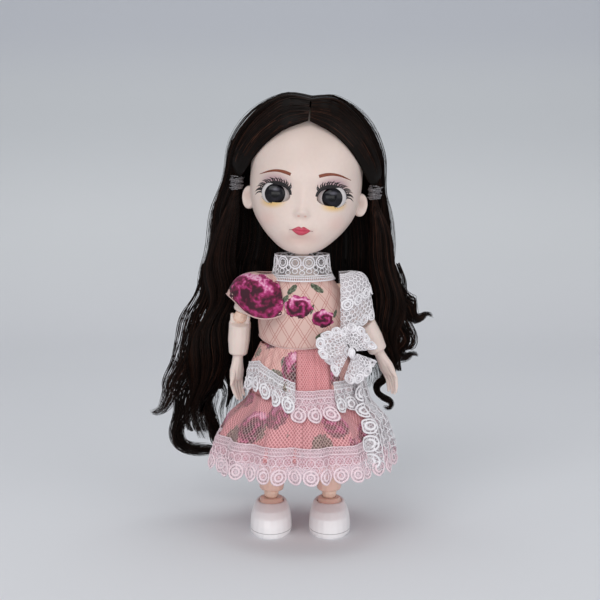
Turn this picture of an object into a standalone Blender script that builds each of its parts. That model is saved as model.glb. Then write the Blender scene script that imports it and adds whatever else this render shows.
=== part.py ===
# Ball jointed doll in a lace trimmed dress, with long wavy hair.
# Metres, +Z up. The doll faces -Y and its soles stand at Z = 0.
# Right and left are the doll's own sides, so its right side is at -X.
import math

import bmesh
import bpy
from mathutils import Matrix, Vector

# Fits and walls
FIT = 0.0003
OVERRUN = 0.006
SHELL_WALL = 0.0014
CLOTH = 0.0005
TRIM_CLOTH = 0.0006
MERGE = 0.00001

# Place of the standing body in the part's frame
BODY_X = 0.0092
BODY_Y = -0.0003

# Leg lengths from pivot to pivot, and the places of the hips
ANKLE_Z = 0.0132
SHIN_LENGTH = 0.0212
THIGH_LENGTH = 0.0222
HIP_X = 0.0094
LEG_SPREAD = {"right": 2.9, "left": 1.2}

# Arm lengths from pivot to pivot, and the places of the shoulders
SHOULDER_X = 0.0184
SHOULDER_Z = 0.0914
UPPER_ARM_LENGTH = 0.0120
FOREARM_LENGTH = 0.0146
HAND_LENGTH = 0.0165
ARM_SPREAD = {"right": 22.0, "left": 18.0}
ELBOW_SIDE_BEND = {"right": -18.0, "left": 9.0}

# Neck and head
NECK_Y = 0.0010
NECK_STUB_RADIUS = 0.0044
NECK_STUB_TOP = 0.1030
NECK_STUB_LENGTH = 0.0050
NOD_Z = 0.1095
HEAD_ROLL = 4.0
HEAD_YAW = -2.0

# Joint pieces: ball, stem and retaining flange
SHOULDER_FIT = {"ball": 0.0029, "stem": 0.0014, "flange": 0.0024, "flange_length": 0.0010, "reach": 0.0125}
HIP_FIT = {"ball": 0.0042, "stem": 0.0019, "flange": 0.0031, "flange_length": 0.0010, "reach": 0.0086}
ELBOW_FIT = {"ball": 0.0026, "stem": 0.0012, "flange": 0.0019, "flange_length": 0.0010, "reach": 0.0062}
KNEE_FIT = {"ball": 0.0034, "stem": 0.0016, "flange": 0.0025, "flange_length": 0.0012, "reach": 0.0085}
ANKLE_FIT = {"ball": 0.0028, "stem": 0.0014, "flange": 0.0022, "flange_length": 0.0010, "reach": 0.0070}
WRIST_FIT = {"ball": 0.0021, "stem": 0.0011, "flange": 0.0017, "flange_length": 0.0008, "reach": 0.0052}
NECK_FIT = {"ball": 0.0042, "stem": 0.0026, "flange": 0.0035, "flange_length": 0.0014, "reach": 0.0155}

# Limb radii
ARM_RADIUS = 0.0037
ARM_RIM_RADIUS = 0.0033
SHOULDER_CAP = 0.0039
THIGH_RADIUS = 0.0056
THIGH_CAP = 0.0059
KNEE_RADIUS = 0.0045
CALF_RADIUS = 0.0049
ANKLE_RADIUS = 0.0042
WRIST_RADIUS = 0.0031

# How far a limb's lower rim stops above the ball's centre, and how far a cup reaches round the ball
ELBOW_RIM = 0.0022
KNEE_RIM = 0.0016
ANKLE_RIM = 0.0016
ELBOW_NOTCH = 0.0037
KNEE_NOTCH = 0.0060
CHEEK_RADIUS = 0.0010
CHEEK_DEPTH = 0.0040
CUP_EDGE = 0.0004
WRIST_RIM = 0.0007
ROUNDING = 0.0004
THIGH_SHARES = (0.45, 0.94, 0.74)
SHIN_SHARES = (0.38, 0.90, 0.74)
FOREARM_SHARE = 0.62

# Hands: rows of the palm are depth, thickness, front and back, as shares of the hand's sizes
PALM_WIDTH = 0.0068
PALM_THICKNESS = 0.0034
PALM_SHARES = (
    (0.0, 1.10, 0.62, 0.62),
    (0.12, 1.15, 0.72, 0.72),
    (0.30, 1.20, 1.0, 1.0),
    (0.46, 1.05, 0.98, 0.98),
    (0.53, 0.80, 0.90, 0.90),
)
HAND_TURN = 38.0
FINGER_LENGTH = 0.0078
FINGER_LENGTH_SHARES = (0.93, 1.0, 0.95, 0.80)
FINGER_RADIUS = 0.00088
FINGER_TAPER_SHARES = (1.0, 1.0, 0.9, 0.5)
THUMB_TAPER_SHARES = (1.0, 1.0, 0.5)
FINGER_FIRST_SHARE = -0.38
FINGER_STEP_SHARE = 0.25
FINGER_CLOSE_SHARE = 0.25
FINGER_CURL = 0.0030
FINGER_ROOT = 0.0016
THUMB_RADIUS = 0.00100
THUMB_BASE = (0.0002, -0.0020, -0.0046)
THUMB_TIP = (0.0016, -0.0046, -0.0108)

# Shoes and feet
SHOE_LENGTH = 0.0256
SHOE_TOE_Y = -0.0162
SHOE_HALF_WIDTH = 0.0076
SHOE_HEIGHT = 0.0104
SHOE_WALL = 0.0009
SOLE_THICKNESS = 0.0012
TOE_WIDEST_SHARE = 0.42
# Rows of the shoe from the sole up: height, half width, toe and heel, as shares of the shoe's sizes
SHOE_ROW_SHARES = (
    (0.0, 0.93, 0.97, 0.94),
    (0.115, 1.0, 1.0, 1.0),
    (0.38, 0.99, 0.99, 0.99),
    (0.62, 0.955, 0.91, 0.97),
    (0.82, 0.87, 0.74, 0.94),
    (1.0, 0.74, 0.44, 0.80),
)

# Torso: rows from the hips up are Z, half width, front Y and back Y
TORSO_RINGS = (
    (0.0630, 0.0108, -0.0070, 0.0080),
    (0.0640, 0.0116, -0.0076, 0.0088),
    (0.0665, 0.0122, -0.0080, 0.0092),
    (0.0700, 0.0116, -0.0078, 0.0084),
    (0.0750, 0.0102, -0.0072, 0.0070),
    (0.0800, 0.0104, -0.0074, 0.0068),
    (0.0860, 0.0120, -0.0082, 0.0070),
    (0.0905, 0.0130, -0.0078, 0.0068),
    (0.0928, 0.0118, -0.0068, 0.0062),
    (0.0944, 0.0092, -0.0058, 0.0058),
    (0.0956, 0.0064, -0.0048, 0.0056),
)
CROTCH_RINGS = (
    (0.0506, 0.0018, -0.0026, 0.0032),
    (0.0520, 0.0027, -0.0046, 0.0052),
    (0.0560, 0.0030, -0.0058, 0.0066),
    (0.0660, 0.0030, -0.0058, 0.0066),
)
NECK_STUB_FOOT = NECK_STUB_TOP - NECK_STUB_LENGTH

# Head shell: each ring is front Z, back Z, half width, front Y and back Y, from the neck hole up
NECK_HOLE_RADIUS = 0.0064
HEAD_RINGS = (
    (-0.0022, -0.0004, 0.0064, -0.0064, 0.0064),
    (-0.0046, 0.0000, 0.0078, -0.0118, 0.0108),
    (-0.0050, 0.0016, 0.0098, -0.0158, 0.0146),
    (-0.0034, 0.0040, 0.0102, -0.0176, 0.0172),
    (0.0004, 0.0080, 0.0134, -0.0185, 0.0196),
    (0.0056, 0.0126, 0.0173, -0.0190, 0.0210),
    (0.0114, 0.0176, 0.0197, -0.0189, 0.0216),
    (0.0174, 0.0226, 0.0203, -0.0188, 0.0216),
    (0.0234, 0.0276, 0.0206, -0.0191, 0.0212),
    (0.0294, 0.0326, 0.0206, -0.0187, 0.0200),
    (0.0354, 0.0376, 0.0188, -0.0172, 0.0178),
    (0.0408, 0.0420, 0.0156, -0.0142, 0.0144),
    (0.0450, 0.0454, 0.0110, -0.0100, 0.0100),
    (0.0474, 0.0474, 0.0056, -0.0050, 0.0050),
    (0.0480, 0.0480, 0.0008, -0.0008, 0.0008),
)
HEAD_SEAM_Y = 0.0060
HEAD_SIDES = 24
EYE_X = 0.0098
EYE_Z = 0.0164
EYE_OPENING = (0.0046, 0.0036)
EYE_HALF = (0.00425, 0.0034, 0.00325)
EYE_FRONT_Y = -0.0158
EAR_HALF = (0.0029, 0.0026, 0.0042)
EAR_PLACE = (0.0204, 0.0020, 0.0132)
NOSE_HALF = (0.0014, 0.0014, 0.0017)
NOSE_Z = 0.0112
NOSE_RING = 6.0
CUP_CROWN_SHARE = 0.62
BRACKET_HALF = (0.0130, 0.0011, 0.0038)

NECK_CUP_WALL = 0.0013
NECK_CUP_SPAN = (-0.0020, 0.0030)

# Hair over the skull. The hairline gives how far up the head's rings the hair starts,
# at angles from the front
CAP_LIFT = 0.0010
CAP_THICKNESS = 0.0006
HAIR_EDGE = 0.0010
HAIR_TOP = 0.0034
HAIR_SIDE = 0.0066
HAIR_BACK = 0.0062
HAIRLINE_ANGLES = (0, 20, 40, 60, 75, 90, 100, 115, 130, 180)
HAIRLINE_RINGS = (11.3, 11.0, 10.5, 9.7, 9.0, 8.3, 7.6, 6.0, 4.4, 3.5)
HAIR_RISE_RINGS = 1.6
PARTING_GAP = 0.0003
HAIR_ROWS = 9
HAIR_COLUMNS = 24

# Wound hair elastics, placed from the head's pivot
TIE_PLACE = (0.0256, 0.0020, 0.0186)
TIE_RADIUS = 0.0026
TIE_CORD = 0.0009
TIE_PITCH = 0.0015
TIE_TURNS = 3
TIE_POINTS = 10

# Long hair: rows are X, Y, Z, half width and half depth
RIGHT_HAIR = (
    (-0.0239, 0.0038, 0.1330, 0.0014, 0.0014),
    (-0.0241, 0.0038, 0.1296, 0.0016, 0.0016),
    (-0.0244, 0.0040, 0.1262, 0.0017, 0.0017),
    (-0.0254, 0.0048, 0.1226, 0.0026, 0.0022),
    (-0.0282, 0.0072, 0.1120, 0.0052, 0.0036),
    (-0.0300, 0.0105, 0.1000, 0.0066, 0.0036),
    (-0.0312, 0.0125, 0.0900, 0.0072, 0.0036),
    (-0.0326, 0.0135, 0.0800, 0.0076, 0.0038),
    (-0.0350, 0.0138, 0.0680, 0.0082, 0.0038),
    (-0.0366, 0.0146, 0.0560, 0.0082, 0.0036),
    (-0.0390, 0.0160, 0.0450, 0.0074, 0.0034),
    (-0.0400, 0.0170, 0.0360, 0.0052, 0.0026),
    (-0.0392, 0.0172, 0.0310, 0.0024, 0.0016),
)
RIGHT_CURLS = (
    (
        (-0.0395, 0.0140, 0.0740, 0.0030, 0.0024),
        (-0.0445, 0.0130, 0.0640, 0.0030, 0.0024),
        (-0.0482, 0.0125, 0.0560, 0.0030, 0.0022),
        (-0.0500, 0.0120, 0.0490, 0.0028, 0.0020),
        (-0.0550, 0.0115, 0.0440, 0.0022, 0.0016),
        (-0.0578, 0.0110, 0.0410, 0.0012, 0.0010),
    ),
    (
        (-0.0400, 0.0165, 0.0480, 0.0030, 0.0024),
        (-0.0460, 0.0165, 0.0420, 0.0028, 0.0022),
        (-0.0492, 0.0165, 0.0350, 0.0026, 0.0020),
        (-0.0470, 0.0170, 0.0290, 0.0024, 0.0018),
        (-0.0400, 0.0180, 0.0250, 0.0022, 0.0016),
        (-0.0330, 0.0190, 0.0230, 0.0014, 0.0010),
    ),
)
LEFT_HAIR = (
    (0.0272, 0.0021, 0.1292, 0.0014, 0.0014),
    (0.0269, 0.0021, 0.1260, 0.0016, 0.0016),
    (0.0267, 0.0023, 0.1226, 0.0017, 0.0017),
    (0.0276, 0.0036, 0.1186, 0.0026, 0.0022),
    (0.0296, 0.0080, 0.1120, 0.0046, 0.0034),
    (0.0308, 0.0105, 0.1010, 0.0058, 0.0036),
    (0.0318, 0.0120, 0.0900, 0.0060, 0.0036),
    (0.0332, 0.0125, 0.0800, 0.0060, 0.0036),
    (0.0345, 0.0125, 0.0720, 0.0056, 0.0034),
    (0.0346, 0.0120, 0.0676, 0.0042, 0.0028),
    (0.0338, 0.0118, 0.0656, 0.0018, 0.0014),
)
BACK_HAIR = (
    (0.0004, 0.0206, 0.1118, 0.0220, 0.0026),
    (0.0002, 0.0208, 0.1060, 0.0262, 0.0032),
    (0.0000, 0.0206, 0.0980, 0.0285, 0.0034),
    (0.0010, 0.0202, 0.0880, 0.0275, 0.0032),
    (0.0012, 0.0204, 0.0780, 0.0280, 0.0032),
    (0.0010, 0.0214, 0.0680, 0.0290, 0.0032),
    (0.0020, 0.0236, 0.0590, 0.0280, 0.0030),
    (0.0000, 0.0268, 0.0510, 0.0230, 0.0028),
    (-0.0030, 0.0304, 0.0420, 0.0140, 0.0020),
)
BACK_HAIR_BOW = 0.0030
LOCK_WAVE = 0.0008
LOCK_WAVES = 4
LOCK_SIDES = 16

# Dress: rows are Z, half width, front Y and back Y
BODICE_ROWS = (
    (0.0708, 0.0156, -0.0124, 0.0108),
    (0.0745, 0.0160, -0.0126, 0.0108),
    (0.0800, 0.0162, -0.0124, 0.0106),
    (0.0860, 0.0154, -0.0118, 0.0100),
    (0.0905, 0.0142, -0.0104, 0.0092),
    (0.0932, 0.0124, -0.0098, 0.0086),
)
ARMHOLE = 0.0046
COLLAR_ROWS = (
    (0.0938, 0.0114, -0.0100, 0.0092),
    (0.0970, 0.0106, -0.0094, 0.0090),
    (0.1005, 0.0100, -0.0092, 0.0090),
    (0.1036, 0.0098, -0.0092, 0.0092),
)
LINING_ROWS = (
    (0.0700, 0.0142, -0.0112, 0.0098),
    (0.0630, 0.0170, -0.0151, 0.0139),
    (0.0530, 0.0178, -0.0205, 0.0192),
    (0.0490, 0.0190, -0.0228, 0.0212),
    (0.0430, 0.0258, -0.0264, 0.0242),
    (0.0340, 0.0300, -0.0296, 0.0266),
)
LINING_FOLDS = 13
LINING_FOLD = 0.0012
OVERSKIRT_RISE = 0.0014
OVERSKIRT_BOTTOM = 0.0480
OVERSKIRT_ROWS = 4
HEM_TOP = 0.0375
HEM_BOTTOM = 0.0254
HEM_RISE = 0.0017
TRIM_TOP = 0.0540
TRIM_BOTTOM = 0.0450
TRIM_ANGLES = (205, 300)
TRIM_RISE = 0.0032
CASCADE_ANGLES = (300, 372)
CASCADE_TURN = 20
CASCADE_FRONT_SHARE = 0.8
CASCADE_ROWS = (
    (0.0690, 0.0028, 0.20),
    (0.0600, 0.0044, 0.45),
    (0.0500, 0.0058, 0.70),
    (0.0400, 0.0040, 0.90),
    (0.0330, 0.0029, 1.0),
    (0.0272, 0.0027, 1.0),
)
SKIRT_COLUMNS = 39

# Sleeves: columns sweep about an upright axis at each shoulder, rows are reach from it and Z
FLOUNCE_AXIS_X = -0.0128
FLOUNCE_SWEEP = (-118, 112)
FLOUNCE_SIDE = ((0.0042, 0.0972), (0.0080, 0.0966), (0.0112, 0.0948), (0.0132, 0.0920), (0.0146, 0.0888))
FLOUNCE_FRONT = ((0.0042, 0.0968), (0.0084, 0.0945), (0.0112, 0.0905), (0.0130, 0.0858), (0.0144, 0.0812))
LACE_SLEEVE_AXIS_X = 0.0128
LACE_SLEEVE_SWEEP = (70, 290)
LACE_SIDE = ((0.0042, 0.0972), (0.0082, 0.0966), (0.0108, 0.0940), (0.0124, 0.0890), (0.0132, 0.0830))
LACE_FRONT = ((0.0042, 0.0966), (0.0084, 0.0942), (0.0108, 0.0898), (0.0118, 0.0840), (0.0124, 0.0775))
SLEEVE_COLUMNS = 15
SLEEVE_FOLDS = 5
SLEEVE_FOLD = 0.0006

# Bow at the left of the waist
BOW_PLACE = (0.0160, -0.0181, 0.0684)
BOW_KNOT = (0.0022, 0.0018, 0.0026)
BOW_LOOP = (0.0052, 0.0034)
BOW_WIDTH = 0.0050
BOW_FLAT_SHARE = 0.4
BOW_TAIL = 0.0120
BOW_TAIL_SHARES = ((0.0, 0.0, 0.25), (0.33, 0.5, 0.33), (0.5, 1.0, 0.5))

SIDES = {"right": -1, "left": 1}

for old in list(bpy.data.objects):
    bpy.data.objects.remove(old, do_unlink=True)

MODEL = bpy.data.collections.new("ball_jointed_doll")
CUTTERS = bpy.data.collections.new("cutters")
bpy.context.scene.collection.children.link(MODEL)
bpy.context.scene.collection.children.link(CUTTERS)


def material(name, colour, roughness, metallic=0.0):
    made = bpy.data.materials.new(name)
    made.use_nodes = True
    shader = made.node_tree.nodes["Principled BSDF"]
    shader.inputs["Base Color"].default_value = (*colour, 1.0)
    shader.inputs["Roughness"].default_value = roughness
    shader.inputs["Metallic"].default_value = metallic
    return made


FACE_SKIN = material("face_skin", (0.80, 0.68, 0.62), 0.45)
LIMB_SKIN = material("limb_skin", (0.78, 0.62, 0.54), 0.45)
EYE_BLACK = material("eye", (0.01, 0.01, 0.012), 0.08)
HAIR_BROWN = material("hair", (0.012, 0.007, 0.006), 0.35)
ELASTIC = material("hair_elastic", (0.18, 0.16, 0.16), 0.3)
SHOE_WHITE = material("shoe_vinyl", (0.82, 0.80, 0.80), 0.3)
PRINT_CLOTH = material("printed_satin", (0.76, 0.50, 0.42), 0.5)
PINK_CLOTH = material("pink_tulle", (0.72, 0.34, 0.36), 0.7)
WHITE_LACE = material("white_lace", (0.86, 0.80, 0.82), 0.8)


def pivot(name, parent, place, turn=Matrix.Identity(4)):
    """An empty on a joint's axis, which carries the pieces beyond that joint."""
    empty = bpy.data.objects.new(name, None)
    MODEL.objects.link(empty)
    empty.parent = parent
    empty.matrix_local = Matrix.Translation(Vector(place)) @ turn
    return empty


def turned_about(degrees, axis):
    return Matrix.Rotation(math.radians(degrees), 4, axis)


def put(name, mesh, finish, parent=None, place=Matrix.Identity(4), cutter=False):
    """Makes an object of a mesh, as a piece of the doll or as a cutter."""
    obj = bpy.data.objects.new(name, mesh)
    if cutter:
        CUTTERS.objects.link(obj)
        obj.hide_render = True
        obj.display_type = "WIRE"
    else:
        MODEL.objects.link(obj)
        mesh.materials.append(finish)
    obj.parent = parent
    obj.matrix_local = place
    return obj


def mesh_of(work, name, sharp=50.0):
    bmesh.ops.recalc_face_normals(work, faces=work.faces)
    mesh = bpy.data.meshes.new(name)
    work.to_mesh(mesh)
    work.free()
    mesh.shade_smooth()
    mesh.set_sharp_from_angle(angle=math.radians(sharp))
    return mesh


def combine(target, other, operation):
    step = target.modifiers.new(operation.lower(), "BOOLEAN")
    step.operation = operation
    step.solver = "EXACT"
    step.object = other
    return target


def oval(half_width, front, back, z_front, z_back, sides, centre_x=0.0, widest=None):
    """One cross-section: counter-clockwise from +X, its Z running evenly from front to back."""
    middle = (front + back) / 2 if widest is None else widest
    points = []
    for i in range(sides):
        angle = 2 * math.pi * i / sides
        across = math.sin(angle)
        y = middle + across * ((back - middle) if across > 0 else (middle - front))
        share = (y - front) / (back - front)
        z = z_front + (z_back - z_front) * share
        points.append(Vector((centre_x + half_width * math.cos(angle), y, z)))
    return points


def disc_ring(radius, z, sides, y=0.0):
    return oval(radius, y - radius, y + radius, z, z, sides)


def loft(rings, name):
    """Skins rings of equal counts and closes both ends."""
    work = bmesh.new()
    rows = [[work.verts.new(p) for p in ring] for ring in rings]
    count = len(rows[0])
    for low, high in zip(rows, rows[1:]):
        for i in range(count):
            j = (i + 1) % count
            work.faces.new((low[i], low[j], high[j], high[i]))
    work.faces.new(list(reversed(rows[0])))
    work.faces.new(rows[-1])
    return mesh_of(work, name)


def double_skin(outer, inner, name, closed=False):
    """A thin closed solid between two grids of points, whose rows may close on themselves."""
    work = bmesh.new()
    skins = [[[work.verts.new(p) for p in row] for row in grid] for grid in (outer, inner)]
    rows, columns = len(outer), len(outer[0])
    last = columns if closed else columns - 1
    for skin in skins:
        for r in range(rows - 1):
            for c in range(last):
                d = (c + 1) % columns
                work.faces.new((skin[r][c], skin[r][d], skin[r + 1][d], skin[r + 1][c]))
    for c in range(last):
        d = (c + 1) % columns
        for r in (0, rows - 1):
            work.faces.new((skins[0][r][c], skins[0][r][d], skins[1][r][d], skins[1][r][c]))
    if not closed:
        for r in range(rows - 1):
            for c in (0, columns - 1):
                work.faces.new((skins[0][r][c], skins[0][r + 1][c], skins[1][r + 1][c], skins[1][r][c]))
    return mesh_of(work, name)


def turned(name, profile, finish, parent, place=Matrix.Identity(4), steps=12, cutter=False):
    """A turned shape: the profile runs down its outer side from top to bottom."""
    work = bmesh.new()
    verts = [work.verts.new((r, 0.0, z)) for r, z in profile]
    for a, b in zip(verts, verts[1:]):
        work.edges.new((a, b))
    mesh = bpy.data.meshes.new(name)
    work.to_mesh(mesh)
    work.free()
    obj = put(name, mesh, finish, parent, place, cutter)
    spin = obj.modifiers.new("turn", "SCREW")
    spin.steps = steps
    spin.render_steps = steps
    spin.use_merge_vertices = True
    spin.merge_threshold = MERGE
    spin.use_smooth_shade = True
    return obj


def joint_profile(fit, grow=0.0, arcs=5):
    """Flange, stem and ball, with the ball's centre at the origin and the stem upwards."""
    top = fit["reach"] + grow
    under = fit["reach"] - fit["flange_length"] - grow
    stem = fit["stem"] + grow
    ball = fit["ball"] + grow
    flange = fit["flange"] + grow
    points = [(0.0, top), (flange, top), (flange, under), (stem, under)]
    start = math.asin(stem / ball)
    for i in range(arcs + 1):
        angle = start + (math.pi - start) * i / arcs
        points.append((ball * math.sin(angle) if i < arcs else 0.0, ball * math.cos(angle)))
    return points


def joint_piece(name, fit, finish, parent, place=Matrix.Identity(4)):
    return turned(name, joint_profile(fit), finish, parent, place)


def joint_socket(target, fit, parent, place=Matrix.Identity(4)):
    """Cuts the room for a joint piece's ball, stem and flange."""
    cutter = turned(target.name + "_socket", joint_profile(fit, FIT), None, parent, place, 12, True)
    return combine(target, cutter, "DIFFERENCE")


def ball_room(target, radius, parent):
    """Cuts the cup for a ball at a pivot."""
    work = bmesh.new()
    bmesh.ops.create_uvsphere(work, u_segments=12, v_segments=8, radius=radius + FIT)
    cutter = put(target.name + "_cup", mesh_of(work, "cup"), None, parent, turned_about(90, "X"), True)
    return combine(target, cutter, "DIFFERENCE")


def box_cutter(name, low, high, parent=None):
    work = bmesh.new()
    bmesh.ops.create_cube(work, size=1.0)
    for v in work.verts:
        v.co = Vector(low[i] + (high[i] - low[i]) * (v.co[i] + 0.5) for i in range(3))
    return put(name, mesh_of(work, name), None, parent, cutter=True)


def cheeks(target, radius, limb_radius, depth):
    """Adds the two cheeks of a cup that reach past the ball's centre and grip it."""
    work = bmesh.new()
    bmesh.ops.create_cone(
        work, segments=10, radius1=radius, radius2=radius, depth=2 * limb_radius, cap_ends=True
    )
    bmesh.ops.rotate(work, verts=work.verts, matrix=Matrix.Rotation(math.pi / 2, 3, "Y"))
    for v in work.verts:
        if v.co.z < 0:
            v.co.z -= depth
    cheek = put(target.name + "_cheeks", mesh_of(work, "cheeks"), None, target.parent, cutter=True)
    return combine(target, cheek, "UNION")


def ellipsoid(name, half, place, finish, parent, cutter=False, segments=14, rows=8):
    work = bmesh.new()
    bmesh.ops.create_uvsphere(work, u_segments=segments, v_segments=rows, radius=1.0)
    for v in work.verts:
        v.co = Vector(v.co[i] * half[i] + place[i] for i in range(3))
    return put(name, mesh_of(work, name), finish, parent, cutter=cutter)


def rod_cutter(name, radius, start, end, parent):
    """A round cutter from one point to another."""
    start, end = Vector(start), Vector(end)
    run = end - start
    work = bmesh.new()
    sizes = {"radius1": radius, "radius2": radius, "depth": run.length}
    bmesh.ops.create_cone(work, segments=16, cap_ends=True, **sizes)
    lean = run.to_track_quat("Z", "Y").to_matrix().to_4x4()
    bmesh.ops.transform(work, verts=work.verts, matrix=Matrix.Translation((start + end) / 2) @ lean)
    return put(name, mesh_of(work, name), None, parent, cutter=True)


def settled(obj):
    """The object with its modifiers applied, as a mesh in its own space."""
    bpy.context.view_layer.update()
    graph = bpy.context.evaluated_depsgraph_get()
    return bpy.data.meshes.new_from_object(obj.evaluated_get(graph))


def halved(whole, names, finish, boxes):
    """Splits a whole body into two pieces, each the part of it inside one box."""
    mesh = settled(whole)
    pieces = []
    for name, (low, high) in zip(names, boxes):
        piece = put(name, mesh.copy(), finish, whole.parent, whole.matrix_local.copy())
        piece.data.materials.clear()
        piece.data.materials.append(finish)
        combine(piece, box_cutter(name + "_half", low, high, whole.parent), "INTERSECT")
        pieces.append(piece)
    return pieces


def limb(name, profile, finish, parent, sides=14, top=None):
    """A round limb along its own Z: profile is (radius, z) from the top down."""
    rings = [disc_ring(r, z, sides) for r, z in profile]
    if top is not None:
        rings = [top] + rings
    return put(name, loft(rings, name), finish, parent)


def cap_profile(radius, arcs=4):
    """The round top of a limb, from near its pole down to its widest ring."""
    angles = [math.pi / 2 * (1 - (i + 0.4) / (arcs + 0.4)) for i in range(arcs + 1)]
    return [(radius * math.cos(a), radius * math.sin(a)) for a in angles]


# Legs, from the hip down

def leg(side):
    s = SIDES[side]
    spread = LEG_SPREAD[side]
    hip_z = ANKLE_Z + (SHIN_LENGTH + THIGH_LENGTH) * math.cos(math.radians(spread))
    socket = pivot("hip_swing_" + side, STAND, (s * HIP_X, 0.0, hip_z))
    joint_piece("hip_joint_" + side, HIP_FIT, LIMB_SKIN, socket, turned_about(-90 * s, "Y"))

    hip = pivot("leg_spread_" + side, socket, (0.0, 0.0, 0.0), turned_about(-s * spread, "Y"))
    rim = -(THIGH_LENGTH - KNEE_RIM)
    profile = cap_profile(THIGH_CAP) + [
        (THIGH_RADIUS, rim * THIGH_SHARES[0]),
        (THIGH_RADIUS * THIGH_SHARES[1], rim * THIGH_SHARES[2]),
        (KNEE_RADIUS, rim + ROUNDING),
        (KNEE_RADIUS - ROUNDING, rim),
    ]
    thigh = limb("thigh_" + side, profile, LIMB_SKIN, hip)
    ball_room(thigh, HIP_FIT["ball"], hip)
    slot = HIP_FIT["stem"] + FIT
    combine(thigh, stem_slot(thigh.name, -s, slot, THIGH_CAP + OVERRUN, hip), "DIFFERENCE")

    knee = pivot("knee_bend_" + side, hip, (0.0, 0.0, -THIGH_LENGTH))
    thigh_end = Matrix.Translation((0.0, 0.0, -THIGH_LENGTH))
    joint_piece("knee_joint_" + side, KNEE_FIT, LIMB_SKIN, hip, thigh_end)
    joint_socket(thigh, KNEE_FIT, knee)
    shin_rim = -(SHIN_LENGTH - ANKLE_RIM)
    top = oval(KNEE_RADIUS, -KNEE_RADIUS, KNEE_RADIUS, -CUP_EDGE, -KNEE_NOTCH, 14)
    profile = [
        (KNEE_RADIUS, -KNEE_NOTCH - ROUNDING),
        (CALF_RADIUS, shin_rim * SHIN_SHARES[0]),
        (CALF_RADIUS * SHIN_SHARES[1], shin_rim * SHIN_SHARES[2]),
        (ANKLE_RADIUS, shin_rim + ROUNDING),
        (ANKLE_RADIUS - ROUNDING, shin_rim),
    ]
    shin = limb("shin_" + side, profile, LIMB_SKIN, knee, top=top)
    cheeks(shin, CHEEK_RADIUS, KNEE_RADIUS - ROUNDING, CHEEK_DEPTH)
    ball_room(shin, KNEE_FIT["ball"], knee)

    ankle = pivot("ankle_twist_" + side, knee, (0.0, 0.0, -SHIN_LENGTH))
    joint_piece("ankle_joint_" + side, ANKLE_FIT, LIMB_SKIN, ankle)
    joint_socket(shin, ANKLE_FIT, ankle)
    level = pivot("ankle_tilt_" + side, ankle, (0.0, 0.0, 0.0), turned_about(s * spread, "Y"))
    foot_and_shoe(side, level)


def stem_slot(name, inward, half_width, reach, parent):
    """The slot of a limb's cap, open inwards and upwards, in which a stem swings."""
    low = (min(inward * reach, -inward * half_width), -half_width, -half_width)
    high = (max(inward * reach, -inward * half_width), half_width, reach)
    return box_cutter(name + "_slot", low, high, parent)


def shoe_rings(inset, rows):
    """Level rings of the shoe's outline, moved inwards by inset; Z is from the ankle."""
    rings = []
    for height_share, width_share, toe_share, heel_share in rows:
        z = SHOE_HEIGHT * height_share - ANKLE_Z
        half = SHOE_HALF_WIDTH * width_share - inset
        toe = SHOE_TOE_Y * toe_share + inset
        heel = (SHOE_LENGTH + SHOE_TOE_Y) * heel_share - inset
        rings.append(oval(half, toe, heel, z, z, 20, widest=toe + (heel - toe) * TOE_WIDEST_SHARE))
    return rings


def foot_and_shoe(side, level):
    shoe = put("shoe_" + side, loft(shoe_rings(0.0, SHOE_ROW_SHARES), "shoe"), SHOE_WHITE, level)
    room = shoe_rings(SHOE_WALL, SHOE_ROW_SHARES[1:])
    for point in room[0]:
        point.z = SOLE_THICKNESS - ANKLE_Z
    room.append([point + Vector((0.0, 0.0, OVERRUN)) for point in room[-1]])
    combine(shoe, put(shoe.name + "_room", loft(room, "room"), None, level, cutter=True), "DIFFERENCE")

    rings = shoe_rings(SHOE_WALL + FIT, SHOE_ROW_SHARES[1:])
    for point in rings[0]:
        point.z = SOLE_THICKNESS + FIT - ANKLE_Z
    rings.append(disc_ring(ANKLE_RADIUS, -ANKLE_RIM, 20))
    foot = put("foot_" + side, loft(rings, "foot"), LIMB_SKIN, level)
    ball_room(foot, ANKLE_FIT["ball"], level)


# Arms, from the shoulder down

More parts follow.
